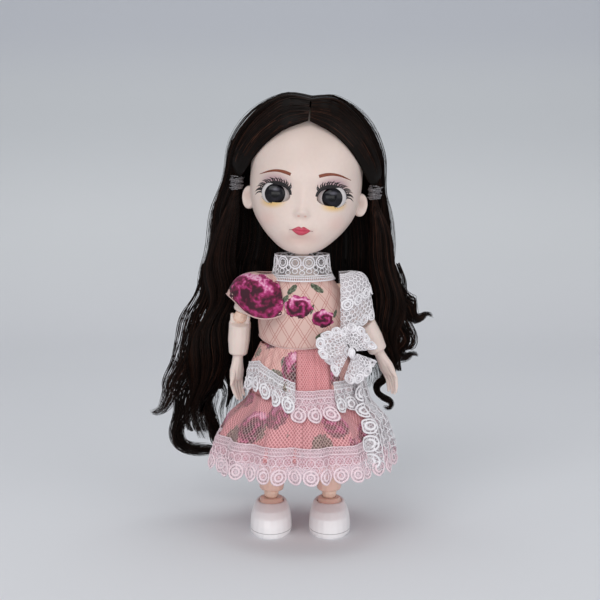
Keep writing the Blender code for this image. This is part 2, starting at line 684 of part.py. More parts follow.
def arm(side):
    s = SIDES[side]
    socket = pivot("shoulder_swing_" + side, STAND, (s * SHOULDER_X, 0.0, SHOULDER_Z))
    joint_piece("shoulder_joint_" + side, SHOULDER_FIT, LIMB_SKIN, socket, turned_about(-90 * s, "Y"))

    spread = turned_about(-s * ARM_SPREAD[side], "Y")
    shoulder = pivot("arm_raise_" + side, socket, (0.0, 0.0, 0.0), spread)
    rim = -(UPPER_ARM_LENGTH - ELBOW_RIM)
    profile = cap_profile(SHOULDER_CAP) + [
        (ARM_RADIUS, rim / 2),
        (ARM_RIM_RADIUS, rim + ROUNDING),
        (ARM_RIM_RADIUS - ROUNDING, rim),
    ]
    upper = limb("upper_arm_" + side, profile, LIMB_SKIN, shoulder)
    ball_room(upper, SHOULDER_FIT["ball"], shoulder)
    slot = SHOULDER_FIT["stem"] + FIT
    combine(upper, stem_slot(upper.name, -s, slot, SHOULDER_CAP + OVERRUN, shoulder), "DIFFERENCE")

    elbow = pivot("elbow_twist_" + side, shoulder, (0.0, 0.0, -UPPER_ARM_LENGTH))
    joint_piece("elbow_joint_" + side, ELBOW_FIT, LIMB_SKIN, elbow)
    joint_socket(upper, ELBOW_FIT, elbow)
    lean = turned_about(-s * ELBOW_SIDE_BEND[side], "Y")
    bend = pivot("elbow_bend_" + side, elbow, (0.0, 0.0, 0.0), lean)
    wrist_rim = -(FOREARM_LENGTH - WRIST_RIM)
    top = oval(ARM_RADIUS, -ARM_RADIUS, ARM_RADIUS, -ELBOW_NOTCH, -CUP_EDGE, 14)
    profile = [
        (ARM_RADIUS, -ELBOW_NOTCH - ROUNDING),
        (ARM_RADIUS, wrist_rim * FOREARM_SHARE),
        (WRIST_RADIUS, wrist_rim + ROUNDING),
        (WRIST_RADIUS - ROUNDING, wrist_rim),
    ]
    forearm = limb("forearm_" + side, profile, LIMB_SKIN, bend, top=top)
    cheeks(forearm, CHEEK_RADIUS, ARM_RADIUS - ROUNDING, CHEEK_DEPTH)
    ball_room(forearm, ELBOW_FIT["ball"], bend)

    wrist = pivot("wrist_twist_" + side, bend, (0.0, 0.0, -FOREARM_LENGTH))
    hand(side, wrist)
    joint_socket(forearm, WRIST_FIT, wrist)


def tube_solid(points, radii, sides, name, deep_axis=Vector((0, 1, 0))):
    """A closed tube through points, with a half width and a half depth at each."""
    rings = []
    for i, centre in enumerate(points):
        run = points[min(i + 1, len(points) - 1)] - points[max(i - 1, 0)]
        wide = deep_axis.cross(run).normalized()
        deep = run.cross(wide).normalized()
        half, half_depth = radii[i]
        ring = []
        for k in range(sides):
            angle = 2 * math.pi * k / sides
            ring.append(centre + wide * half * math.cos(angle) + deep * half_depth * math.sin(angle))
        rings.append(ring)
    return loft(rings, name)


def hand(side, wrist):
    """A palm that faces the body, four curled fingers and a thumb, with the wrist ball in one piece."""
    s = SIDES[side]
    palm_rings = []
    for z_share, thick_share, front_share, back_share in PALM_SHARES:
        half = PALM_THICKNESS / 2 * thick_share
        front = -PALM_WIDTH / 2 * front_share
        back = PALM_WIDTH / 2 * back_share
        z = -HAND_LENGTH * z_share - WRIST_RIM
        palm_rings.append(oval(half, front, back, z, z, 12))
    turn = turned_about(HAND_TURN * s, "Z")
    palm = put("hand_" + side, loft(palm_rings, "hand"), LIMB_SKIN, wrist, turn)
    knuckle_z = -HAND_LENGTH * PALM_SHARES[-1][0]
    for i in range(4):
        y = PALM_WIDTH * (FINGER_FIRST_SHARE + FINGER_STEP_SHARE * i)
        length = FINGER_LENGTH * FINGER_LENGTH_SHARES[i]
        points = []
        for share in (0.0, 0.35, 0.7, 1.0):
            curl = FINGER_CURL * share * share
            across = y * (1 - FINGER_CLOSE_SHARE * share)
            points.append(Vector((-s * curl, across, knuckle_z - length * share)))
        points[0].z += FINGER_ROOT
        radii = [(FINGER_RADIUS * share, FINGER_RADIUS * share) for share in FINGER_TAPER_SHARES]
        finger = put(f"finger_{side}_{i}", tube_solid(points, radii, 6, "finger"), None, wrist, turn, True)
        combine(palm, finger, "UNION")
    base = Vector((-s * THUMB_BASE[0], THUMB_BASE[1], THUMB_BASE[2]))
    tip = Vector((-s * THUMB_TIP[0], THUMB_TIP[1], THUMB_TIP[2]))
    points = [base, base.lerp(tip, 0.5), tip]
    radii = [(THUMB_RADIUS * share, THUMB_RADIUS * share) for share in THUMB_TAPER_SHARES]
    thumb = put("thumb_" + side, tube_solid(points, radii, 6, "thumb"), None, wrist, turn, True)
    combine(palm, thumb, "UNION")
    stem = turned("wrist_ball_" + side, joint_profile(WRIST_FIT), None, wrist, steps=10, cutter=True)
    combine(palm, stem, "UNION")


# Torso

def torso():
    rings = []
    for z, half, front, back in TORSO_RINGS:
        rings.append(oval(half, front, back, z, z, 20))
    for radius, z in ((NECK_STUB_RADIUS, NECK_STUB_FOOT), (NECK_STUB_RADIUS, NECK_STUB_TOP)):
        rings.append(disc_ring(radius, z, 20, NECK_Y))
    whole = put("torso_whole", loft(rings, "torso"), None, STAND, cutter=True)
    tongue = [oval(half, front, back, z, z, 16) for z, half, front, back in CROTCH_RINGS]
    combine(whole, put("crotch", loft(tongue, "crotch"), None, STAND, cutter=True), "UNION")
    for side, s in SIDES.items():
        across = turned_about(-90 * s, "Y")
        joint_socket(whole, SHOULDER_FIT, bpy.data.objects["shoulder_swing_" + side], across)
        joint_socket(whole, HIP_FIT, bpy.data.objects["hip_swing_" + side], across)
    joint_socket(whole, NECK_FIT, bpy.data.objects["neck_turn"], NECK_STEM)
    wide = HIP_X * 4
    high = NECK_STUB_TOP * 2
    halved(
        whole,
        ("torso_front", "torso_back"),
        LIMB_SKIN,
        (
            ((-wide, -wide, -OVERRUN), (wide, -FIT / 2, high)),
            ((-wide, FIT / 2, -OVERRUN), (wide, wide, high)),
        ),
    )


# Head

def head_surface(ring, angle):
    """A point on the skull: ring counts up the table of rings, and angle runs from +X towards the back."""
    low = min(int(ring), len(HEAD_RINGS) - 2)
    share = ring - low
    row = [a + (b - a) * share for a, b in zip(HEAD_RINGS[low], HEAD_RINGS[low + 1])]
    z_front, z_back, half, front, back = row
    across = math.sin(angle)
    middle = (front + back) / 2
    y = middle + across * (back - front) / 2
    z = z_front + (z_back - z_front) * (across + 1) / 2
    return Vector((half * math.cos(angle), y, z))


def head_point(ring, angle, distance):
    """A point at a distance outside the skull, along its normal."""
    top = len(HEAD_RINGS) - 1
    step = math.radians(1.0)
    above = head_surface(min(ring + step, top), angle) - head_surface(max(ring - step, 0.0), angle)
    along = head_surface(ring, angle + step) - head_surface(ring, angle - step)
    return head_surface(ring, angle) + along.cross(above).normalized() * distance


def skull_mesh(distance, name):
    rings = []
    for ring in range(len(HEAD_RINGS)):
        angles = [2 * math.pi * i / HEAD_SIDES for i in range(HEAD_SIDES)]
        rings.append([head_point(ring, angle, distance) for angle in angles])
    return loft(rings, name)


def head(pivot_object):
    whole = put("skull", skull_mesh(0.0, "skull"), None, pivot_object, cutter=True)
    for s in SIDES.values():
        place = (s * EAR_PLACE[0], EAR_PLACE[1], EAR_PLACE[2])
        combine(whole, ellipsoid("ear", EAR_HALF, place, None, pivot_object, True, 8, 6), "UNION")
    nose = (0.0, head_surface(NOSE_RING, -math.pi / 2).y, NOSE_Z)
    combine(whole, ellipsoid("nose", NOSE_HALF, nose, None, pivot_object, True, 8, 5), "UNION")
    hollow = put("hollow", skull_mesh(-SHELL_WALL, "hollow"), None, pivot_object, cutter=True)
    combine(whole, hollow, "DIFFERENCE")
    hole = rod_cutter("neck_hole", NECK_HOLE_RADIUS, (0, 0, -OVERRUN), (0, 0, OVERRUN / 2), pivot_object)
    combine(whole, hole, "DIFFERENCE")
    for s in SIDES.values():
        rings = []
        for y in (-HEAD_RINGS[7][2] - OVERRUN, EYE_FRONT_Y + OVERRUN):
            ring = oval(EYE_OPENING[0], -EYE_OPENING[1], EYE_OPENING[1], 0.0, 0.0, 16)
            rings.append([Vector((s * EYE_X + p.x, y, EYE_Z + p.y)) for p in ring])
        opening = put("eye_opening", loft(rings, "opening"), None, pivot_object, cutter=True)
        combine(whole, opening, "DIFFERENCE")
    wide = HEAD_RINGS[7][2] * 2
    high = HEAD_RINGS[-1][0] + OVERRUN
    halved(
        whole,
        ("head_front", "head_back"),
        FACE_SKIN,
        (
            ((-wide, -wide, -wide), (wide, HEAD_SEAM_Y, high)),
            ((-wide, HEAD_SEAM_Y + FIT, -wide), (wide, wide, high)),
        ),
    )
    eyes(pivot_object)
    neck_cup(pivot_object)


def eyes(pivot_object):
    """Each eye is a dome with a flat back, and a bracket behind the face carries both."""
    back = EYE_FRONT_Y + EYE_HALF[1] + FIT
    for side, s in SIDES.items():
        centre = (s * EYE_X, EYE_FRONT_Y + EYE_HALF[1], EYE_Z)
        eye = ellipsoid("eye_" + side, EYE_HALF, centre, EYE_BLACK, pivot_object, False, 14, 8)
        reach = EYE_HALF[0] * 2
        low = (centre[0] - reach, back, centre[2] - reach)
        high = (centre[0] + reach, back + reach, centre[2] + reach)
        combine(eye, box_cutter(eye.name + "_back", low, high, pivot_object), "DIFFERENCE")
    bracket_y = back + FIT + BRACKET_HALF[1]
    work = bmesh.new()
    bmesh.ops.create_cube(work, size=1)
    for v in work.verts:
        reach = [2 * half * side for half, side in zip(BRACKET_HALF, v.co)]
        v.co = Vector((reach[0], bracket_y + reach[1], EYE_Z + reach[2]))
    bracket = put("eye_bracket", mesh_of(work, "bracket"), LIMB_SKIN, pivot_object)
    edge = bracket.modifiers.new("edges", "BEVEL")
    edge.width = BRACKET_HALF[1] / 2
    edge.segments = 2


def neck_cup(pivot_object):
    """The socket in the head that holds the neck's ball, open below."""
    inner = NECK_FIT["ball"] + FIT
    outer = inner + NECK_CUP_WALL
    low, high = NECK_CUP_SPAN
    profile = [(0.0, high + inner * CUP_CROWN_SHARE)]
    profile += [(outer, high), (outer, low)]
    start = math.pi - math.acos(-low / inner)
    arcs = 6
    for i in range(arcs + 1):
        angle = start * (1 - i / arcs)
        profile.append((inner * math.sin(angle) if i < arcs else 0.0, inner * math.cos(angle)))
    turned("neck_cup", profile, LIMB_SKIN, pivot_object, steps=18)


# Hair

def table_value(x, xs, ys):
    for i in range(len(xs) - 1):
        if x <= xs[i + 1]:
            share = (x - xs[i]) / (xs[i + 1] - xs[i])
            return ys[i] + (ys[i + 1] - ys[i]) * share
    return ys[-1]


def eased(share):
    share = min(max(share, 0.0), 1.0)
    return share * share * (3 - 2 * share)


def hair_depth(from_front, ring, hairline):
    """How far the hair stands off the skull: full at the sides and back, thin at the hairline."""
    side = eased((from_front - 35) / 55)
    full = HAIR_TOP + (HAIR_SIDE - HAIR_TOP) * side
    full += (HAIR_BACK - full) * eased((from_front - 110) / 50)
    full += (HAIR_TOP - full) * eased((ring - 10.5) / 2.5)
    return HAIR_EDGE + (full - HAIR_EDGE) * eased((ring - hairline) / HAIR_RISE_RINGS)


def hair_grid(depth):
    rows = []
    top = len(HEAD_RINGS) - 1
    for r in range(HAIR_ROWS):
        row = []
        for c in range(HAIR_COLUMNS):
            angle = -math.pi / 2 + 2 * math.pi * c / HAIR_COLUMNS
            from_front = min(c, HAIR_COLUMNS - c) * 360 / HAIR_COLUMNS
            hairline = table_value(from_front, HAIRLINE_ANGLES, HAIRLINE_RINGS)
            ring = hairline + (top - hairline) * r / (HAIR_ROWS - 1)
            row.append(head_point(ring, angle, depth(from_front, ring, hairline)))
        rows.append(row)
    return rows


def capped_skin(outer, inner, name):
    """A bowl-shaped solid: two grids whose rows close on themselves, each closed at its last row."""
    work = bmesh.new()
    skins = [[[work.verts.new(p) for p in row] for row in grid] for grid in (outer, inner)]
    columns = len(outer[0])
    for skin in skins:
        for low, high in zip(skin, skin[1:]):
            for c in range(columns):
                d = (c + 1) % columns
                work.faces.new((low[c], low[d], high[d], high[c]))
        work.faces.new(skin[-1])
    for c in range(columns):
        d = (c + 1) % columns
        work.faces.new((skins[0][0][c], skins[0][0][d], skins[1][0][d], skins[1][0][c]))
    return mesh_of(work, name)


def crown(pivot_object):
    cap_low = hair_grid(lambda from_front, ring, hairline: CAP_LIFT)
    cap_high = hair_grid(lambda from_front, ring, hairline: CAP_LIFT + CAP_THICKNESS)
    put("wig_cap", capped_skin(cap_high, cap_low, "wig_cap"), HAIR_BROWN, pivot_object)
    under = CAP_LIFT + CAP_THICKNESS + FIT
    low = hair_grid(lambda from_front, ring, hairline: under)
    high = hair_grid(lambda from_front, ring, hairline: under + hair_depth(from_front, ring, hairline))
    whole = put("crown_whole", capped_skin(high, low, "crown"), None, pivot_object, cutter=True)
    wide = HEAD_RINGS[7][2] * 3
    halved(
        whole,
        ("hair_crown_right", "hair_crown_left"),
        HAIR_BROWN,
        (
            ((-wide, -wide, -wide), (-PARTING_GAP / 2, wide, wide * 2)),
            ((PARTING_GAP / 2, -wide, -wide), (wide, wide, wide * 2)),
        ),
    )


def smooth_rows(rows, count):
    """Reads a table of rows evenly along a smooth curve through them."""
    out = []
    last = len(rows) - 1
    for i in range(count):
        t = last * i / (count - 1)
        k = min(int(t), last - 1)
        u = t - k
        p = [rows[min(max(k + j - 1, 0), last)] for j in range(4)]
        row = []
        for a, b, c, d in zip(*p):
            bend = (2 * a - 5 * b + 4 * c - d) * u * u + (3 * b - a - 3 * c + d) * u ** 3
            row.append((2 * b + (c - a) * u + bend) / 2)
        out.append(row)
    return out


def lock_mesh(rows, count, name, sides=LOCK_SIDES, wave=LOCK_WAVE, bow=0.0):
    """A lock of hair as a flattened tube, waved round its section and bowed forward at its sides."""
    rings = []
    for x, y, z, half, deep in smooth_rows(rows, count):
        ring = []
        ripple = min(wave, deep / 4)
        for k in range(sides):
            angle = 2 * math.pi * k / sides
            swell = 1 + ripple / deep * math.cos(LOCK_WAVES * angle)
            across = math.cos(angle)
            back = deep * swell * math.sin(angle) - bow * across * across
            ring.append(Vector((x + half * across, y + back, z)))
        rings.append(ring)
    return loft(rings, name)


def long_hair():
    right = put("side_hair_right", lock_mesh(RIGHT_HAIR, 15, "side_hair"), HAIR_BROWN, STAND)
    for i, rows in enumerate(RIGHT_CURLS):
        points = [Vector(row[:3]) for row in smooth_rows(rows, 8)]
        radii = [row[3:] for row in smooth_rows(rows, 8)]
        curl = put(f"curl_{i}", tube_solid(points, radii, 8, "curl"), None, STAND, cutter=True)
        combine(right, curl, "UNION")
    put("side_hair_left", lock_mesh(LEFT_HAIR, 13, "side_hair"), HAIR_BROWN, STAND)
    back = lock_mesh(BACK_HAIR, 9, "back_hair", 20, bow=BACK_HAIR_BOW)
    put("back_hair", back, HAIR_BROWN, STAND)


def hair_ties(pivot_object):
    """Each elastic is one cord wound three times round the gathered hair."""
    least = TIE_PITCH - TIE_CORD
    print("least gap between turns of the hair elastics, in metres:", round(least, 5))
    for side, s in SIDES.items():
        points = []
        for i in range(TIE_TURNS * TIE_POINTS + 1):
            angle = 2 * math.pi * i / TIE_POINTS
            x = s * TIE_PLACE[0] + TIE_RADIUS * math.cos(angle)
            y = TIE_PLACE[1] + TIE_RADIUS * math.sin(angle)
            z = TIE_PLACE[2] + TIE_PITCH * (i / TIE_POINTS - TIE_TURNS / 2)
            points.append(Vector((x, y, z)))
        radii = [(TIE_CORD / 2, TIE_CORD / 2)] * len(points)
        cord = tube_solid(points, radii, 6, "hair_tie", deep_axis=Vector((0, 0, 1)))
        put("hair_tie_" + side, cord, ELASTIC, pivot_object)


# Dress

def ring_row(z, half, front, back, columns, rise=0.0, folds=0, fold=0.0):
    """One level row of a skirt or bodice, with folds that ripple round it."""
    middle = (front + back) / 2
    deep = (back - front) / 2
    row = []
    for c in range(columns):
        angle = 2 * math.pi * c / columns
        out = rise + fold * math.cos(folds * angle)
        x = (half + out) * math.cos(angle)
        y = middle + (deep + out) * math.sin(angle)
        row.append(Vector((x, y, z)))
    return row


def tube_cloth(name, rows, wall, finish, columns, folds=0, fold=0.0):
    """A closed band of cloth round the body, with folds that deepen towards its last row."""
    outer, inner = [], []
    for i, (z, half, front, back) in enumerate(rows):
        depth = fold * i / (len(rows) - 1)
        outer.append(ring_row(z, half, front, back, columns, 0.0, folds, depth))
        inner.append(ring_row(z, half, front, back, columns, -wall, folds, depth))
    return put(name, double_skin(outer, inner, name, closed=True), finish, STAND)


def skirt_row(z):
    """The lining's half width, front and back at a height, and how deep its folds are there."""
    rows = LINING_ROWS
    heights = [-row[0] for row in rows]
    z = min(max(z, rows[-1][0]), rows[0][0])
    sizes = [table_value(-z, heights, [row[k] for row in rows]) for k in (1, 2, 3)]
    return sizes, LINING_FOLD * table_value(-z, heights, [i / (len(rows) - 1) for i in range(len(rows))])


def skirt_point(angle, z, rise):
    (half, front, back), fold = skirt_row(z)
    out = rise + fold * math.cos(LINING_FOLDS * angle)
    return Vector((
        (half + out) * math.cos(angle),
        (front + back) / 2 + ((back - front) / 2 + out) * math.sin(angle),
        z,
    ))


def skirt_panel(name, heights, rises, angles, wall, finish, columns):
    """An open panel that hangs outside the lining, between two angles."""
    outer, inner = [], []
    for z, rise, spread in zip(heights, rises, angles):
        start, end = (math.radians(a) for a in spread)
        turns = [start + (end - start) * c / columns for c in range(columns + 1)]
        outer.append([skirt_point(turn, z, rise) for turn in turns])
        inner.append([skirt_point(turn, z, rise - wall) for turn in turns])
    return put(name, double_skin(outer, inner, name), finish, STAND)


def dress():
    bodice = tube_cloth("bodice", BODICE_ROWS, CLOTH, PRINT_CLOTH, 28)
    for side, s in SIDES.items():
        socket = bpy.data.objects["shoulder_swing_" + side]
        shoulder = bpy.data.objects["arm_raise_" + side]
        inner = (-s * SHOULDER_X / 2, 0.0, 0.0)
        outer = (s * SHOULDER_X / 2, 0.0, 0.0)
        combine(bodice, rod_cutter("armhole", ARMHOLE, inner, outer, socket), "DIFFERENCE")
        down = (0.0, 0.0, -UPPER_ARM_LENGTH)
        combine(bodice, rod_cutter("underarm", ARMHOLE, (0.0, 0.0, 0.0), down, shoulder), "DIFFERENCE")
    tube_cloth("collar_lace", COLLAR_ROWS, TRIM_CLOTH, WHITE_LACE, 28)
    tube_cloth("skirt_lining", LINING_ROWS, CLOTH, PINK_CLOTH, SKIRT_COLUMNS, LINING_FOLDS, LINING_FOLD)

    top = LINING_ROWS[0][0]
    heights = [top + (OVERSKIRT_BOTTOM - top) * i / (OVERSKIRT_ROWS - 1) for i in range(OVERSKIRT_ROWS)]
    rises = [OVERSKIRT_RISE] * OVERSKIRT_ROWS
    around = [(100, 440)] * OVERSKIRT_ROWS
    skirt_panel("overskirt", heights, rises, around, CLOTH, PRINT_CLOTH, SKIRT_COLUMNS)
    trim = (TRIM_TOP, (TRIM_TOP + TRIM_BOTTOM) / 2, TRIM_BOTTOM)
    skirt_panel("middle_trim", trim, [TRIM_RISE] * 3, [TRIM_ANGLES] * 3, TRIM_CLOTH, WHITE_LACE, 18)
    hem = [(z, *skirt_row(z)[0]) for z in (HEM_TOP, (HEM_TOP + HEM_BOTTOM) / 2, HEM_BOTTOM)]
    outer, inner = [], []
    for row in hem:
        outer.append(ring_row(*row, SKIRT_COLUMNS, HEM_RISE, LINING_FOLDS, LINING_FOLD))
        inner.append(ring_row(*row, SKIRT_COLUMNS, HEM_RISE - TRIM_CLOTH, LINING_FOLDS, LINING_FOLD))
    put("hem_lace", double_skin(outer, inner, "hem_lace", closed=True), WHITE_LACE, STAND)
    start, end = CASCADE_ANGLES
    heights = [row[0] for row in CASCADE_ROWS]
    rises = [row[1] for row in CASCADE_ROWS]
    hang = end - CASCADE_TURN
    reach = (end - start) * CASCADE_FRONT_SHARE
    spreads = [(hang - reach * share, hang + CASCADE_TURN * share) for _, _, share in CASCADE_ROWS]
    skirt_panel("lace_cascade", heights, rises, spreads, TRIM_CLOTH, WHITE_LACE, 14)

    sleeve("flounce_sleeve", FLOUNCE_AXIS_X, FLOUNCE_SWEEP, FLOUNCE_SIDE, FLOUNCE_FRONT, PRINT_CLOTH)
    sleeve("lace_sleeve", LACE_SLEEVE_AXIS_X, LACE_SLEEVE_SWEEP, LACE_SIDE, LACE_FRONT, WHITE_LACE)
    bow()


def sleeve(name, axis_x, sweep, side_rows, front_rows, finish):
    """A gathered cap of cloth over a shoulder, long in front and behind and short at the side."""
    s = 1 if axis_x > 0 else -1
    first, last = (math.radians(a) for a in sweep)
    outer, inner = [], []
    for i, ((r_side, z_side), (r_front, z_front)) in enumerate(zip(side_rows, front_rows)):
        fold = SLEEVE_FOLD * i / (len(side_rows) - 1)
        rows = ([], [])
        for c in range(SLEEVE_COLUMNS + 1):
            turn = first + (last - first) * c / SLEEVE_COLUMNS
            if s > 0:
                turn -= math.pi
            share = math.sin(turn) ** 2
            z = z_side + (z_front - z_side) * share
            reach = r_side + (r_front - r_side) * share + fold * math.cos(SLEEVE_FOLDS * turn)
            for row, out in zip(rows, (reach, reach - CLOTH)):
                row.append(Vector((axis_x + s * out * math.cos(turn), out * math.sin(turn), z)))
        outer.append(rows[0])
        inner.append(rows[1])
    put(name, double_skin(outer, inner, name), finish, STAND)


def bow():
    """A lace bow: a knot, two flattened loops and two tails, fused to one piece."""
    knot = ellipsoid("lace_bow", BOW_KNOT, BOW_PLACE, WHITE_LACE, STAND, False, 12, 8)
    centre = Vector(BOW_PLACE)
    for s in (-1, 1):
        outer, inner = [], []
        for width in (-BOW_WIDTH / 2, BOW_WIDTH / 2):
            rows = ([], [])
            for c in range(16):
                angle = 2 * math.pi * c / 16
                for row, thin in zip(rows, (0.0, TRIM_CLOTH)):
                    x = s * (BOW_LOOP[0] + (BOW_LOOP[0] - thin) * math.cos(angle))
                    z = (BOW_LOOP[1] - thin) * math.sin(angle)
                    row.append(centre + Vector((x, width * BOW_FLAT_SHARE, z)))
            outer.append(rows[0])
            inner.append(rows[1])
        loop = put("bow_loop", double_skin(outer, inner, "loop", closed=True), None, STAND, cutter=True)
        combine(knot, loop, "UNION")
        points = []
        radii = []
        for out_share, down_share, width_share in BOW_TAIL_SHARES:
            points.append(centre + Vector((s * BOW_TAIL * out_share, 0.0, -BOW_TAIL * down_share)))
            radii.append((BOW_WIDTH * width_share, TRIM_CLOTH / 2))
        tail = put("bow_tail", tube_solid(points, radii, 8, "tail"), None, STAND, cutter=True)
        combine(knot, tail, "UNION")


STAND = pivot("stand", None, (BODY_X, BODY_Y, 0.0))
for each_side in SIDES:
    leg(each_side)
    arm(each_side)
NECK_STEM = Matrix.Translation((0.0, 0.0, NOD_Z - NECK_STUB_TOP)) @ turned_about(180, "X")
NECK = pivot("neck_turn", STAND, (0.0, NECK_Y, NECK_STUB_TOP))
torso()
joint_piece("neck_post", NECK_FIT, LIMB_SKIN, NECK, NECK_STEM)
HEAD_LEAN = turned_about(HEAD_ROLL, "Y") @ turned_about(HEAD_YAW, "Z")
HEAD = pivot("head_nod", NECK, (0.0, 0.0, NOD_Z - NECK_STUB_TOP), HEAD_LEAN)
head(HEAD)
crown(HEAD)
hair_ties(HEAD)
long_hair()
dress()
bpy.context.view_layer.update()
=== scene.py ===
"""Dressed render of a small ball jointed doll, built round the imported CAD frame."""
import math
import random

import bpy
import numpy as np
from mathutils import Matrix, Vector
from mathutils.bvhtree import BVHTree


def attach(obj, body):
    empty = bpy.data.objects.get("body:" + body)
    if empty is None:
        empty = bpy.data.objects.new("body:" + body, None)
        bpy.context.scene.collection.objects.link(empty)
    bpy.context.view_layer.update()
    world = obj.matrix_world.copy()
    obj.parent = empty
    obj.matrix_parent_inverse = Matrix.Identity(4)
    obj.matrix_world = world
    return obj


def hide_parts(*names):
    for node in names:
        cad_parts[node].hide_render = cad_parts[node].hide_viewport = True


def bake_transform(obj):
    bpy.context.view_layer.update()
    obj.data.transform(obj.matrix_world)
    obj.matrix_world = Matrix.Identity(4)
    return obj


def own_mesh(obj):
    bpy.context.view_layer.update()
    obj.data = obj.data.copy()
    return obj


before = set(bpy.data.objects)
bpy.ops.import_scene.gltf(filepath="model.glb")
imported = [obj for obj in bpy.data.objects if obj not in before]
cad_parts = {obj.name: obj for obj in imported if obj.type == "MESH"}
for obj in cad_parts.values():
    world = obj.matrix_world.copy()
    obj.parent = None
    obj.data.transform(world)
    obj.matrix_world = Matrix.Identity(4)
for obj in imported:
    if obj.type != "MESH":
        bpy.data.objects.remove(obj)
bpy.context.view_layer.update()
RND = np.random.default_rng(7)

# Shapes are worked in millimetres round the doll's own middle and shifted into the frame at the end
MM = 0.001
STAND = np.array((9.2, -0.3, 0.0))
NECK_Y = 1.0
NOD_Z = 109.5
HEAD = (
    Matrix.Translation((0.0, NECK_Y, NOD_Z))
    @ Matrix.Rotation(math.radians(4.0), 4, "Y")
    @ Matrix.Rotation(math.radians(-2.0), 4, "Z")
)
HEAD_TURN = np.array(HEAD.to_3x3())
HEAD_PLACE = np.array(HEAD.translation)
SIDES = {"right": -1, "left": 1}


def from_head(points):
    return np.asarray(points, float) @ HEAD_TURN.T + HEAD_PLACE


def smooth(x):
    x = np.clip(x, 0.0, 1.0)
    return x * x * (3 - 2 * x)


def along(rows, t):
    """Reads a table of rows on a smooth curve at t from 0 to 1."""
    rows = np.asarray(rows, float)
    last = len(rows) - 1
    t = np.clip(np.asarray(t, float), 0, 1) * last
    k = np.minimum(t.astype(int), last - 1)
    u = (t - k)[..., None]
    a, b, c, d = (rows[np.clip(k + j, 0, last)] for j in (-1, 0, 1, 2))
    return (2 * b + (c - a) * u + (2 * a - 5 * b + 4 * c - d) * u**2 + (3 * b - a - 3 * c + d) * u**3) / 2


# Materials

def new_material(name):
    made = bpy.data.materials.new(name)
    made.use_nodes = True
    return made, made.node_tree.nodes, made.node_tree.links, made.node_tree.nodes["Principled BSDF"]


class Nodes:
    """Short names for the shader nodes that the materials use."""

    def __init__(self, name):
        self.material, self.nodes, self.links, self.shader = new_material(name)

    def add(self, kind, **values):
        node = self.nodes.new(kind)
        for key, value in values.items():
            setattr(node, key, value)
        return node

    def wire(self, socket, value):
        if hasattr(value, "is_output"):
            self.links.new(value, socket)
        elif value is not None:
            socket.default_value = value

    def math(self, operation, a, b=None, c=None, clamp=False):
        node = self.add("ShaderNodeMath", operation=operation, use_clamp=clamp)
        for socket, value in zip(node.inputs, (a, b, c)):
            self.wire(socket, value)
        return node.outputs[0]

    def vector(self, operation, a, b=None, out=0):
        node = self.add("ShaderNodeVectorMath", operation=operation)
        self.wire(node.inputs[0], a)
        self.wire(node.inputs[1], b)
        return node.outputs[out]

    def mix(self, share, a, b, blend="MIX"):
        node = self.add("ShaderNodeMix", data_type="RGBA", blend_type=blend)
        self.wire(node.inputs[0], share)
        self.wire(node.inputs[6], a)
        self.wire(node.inputs[7], b)
        return node.outputs[2]

    def noise(self, place, scale, detail=3.0, rough=0.5):
        node = self.add("ShaderNodeTexNoise")
        self.wire(node.inputs["Vector"], place)
        node.inputs["Scale"].default_value = scale
        node.inputs["Detail"].default_value = detail
        node.inputs["Roughness"].default_value = rough
        return node.outputs["Fac"]

    def place(self):
        return self.add("ShaderNodeTexCoord").outputs["Object"]

    def blob(self, where, centre, reach, edge=(0.55, 1.0)):
        """1 inside an ellipsoid and 0 outside it, with a soft edge."""
        off = self.vector("SUBTRACT", where, tuple(centre))
        size = self.vector("LENGTH", self.vector("DIVIDE", off, tuple(reach)), out=1)
        return self.ramp(size, [(edge[0], (1, 1, 1, 1)), (edge[1], (0, 0, 0, 1))])

    def ramp(self, value, stops):
        node = self.add("ShaderNodeValToRGB")
        band = node.color_ramp
        band.interpolation = "EASE"
        while len(band.elements) < len(stops):
            band.elements.new(0.5)
        for element, (spot, colour) in zip(band.elements, stops):
            element.position = spot
            element.color = colour
        self.wire(node.inputs[0], value)
        return node.outputs[0]

    def bump(self, height, strength=0.3, distance=0.0002):
        node = self.add("ShaderNodeBump")
        node.inputs["Strength"].default_value = strength
        node.inputs["Distance"].default_value = distance
        self.wire(node.inputs["Height"], height)
        self.links.new(node.outputs[0], self.shader.inputs["Normal"])

    def finish(self, colour, rough, **more):
        self.wire(self.shader.inputs["Base Color"], colour)
        self.wire(self.shader.inputs["Roughness"], rough)
        for key, value in more.items():
            self.shader.inputs[key.replace("_", " ")].default_value = value
        return self.material


def rgb(r, g, b, a=1.0):
    """A colour as a picture gives it, turned into the light it stands for."""
    def linear(v):
        v /= 255
        return v / 12.92 if v <= 0.04045 else ((v + 0.055) / 1.055) ** 2.4
    return (linear(r), linear(g), linear(b), a)


def frame_point(point_mm):
    return tuple((np.asarray(point_mm) + STAND) * MM)


# Making meshes

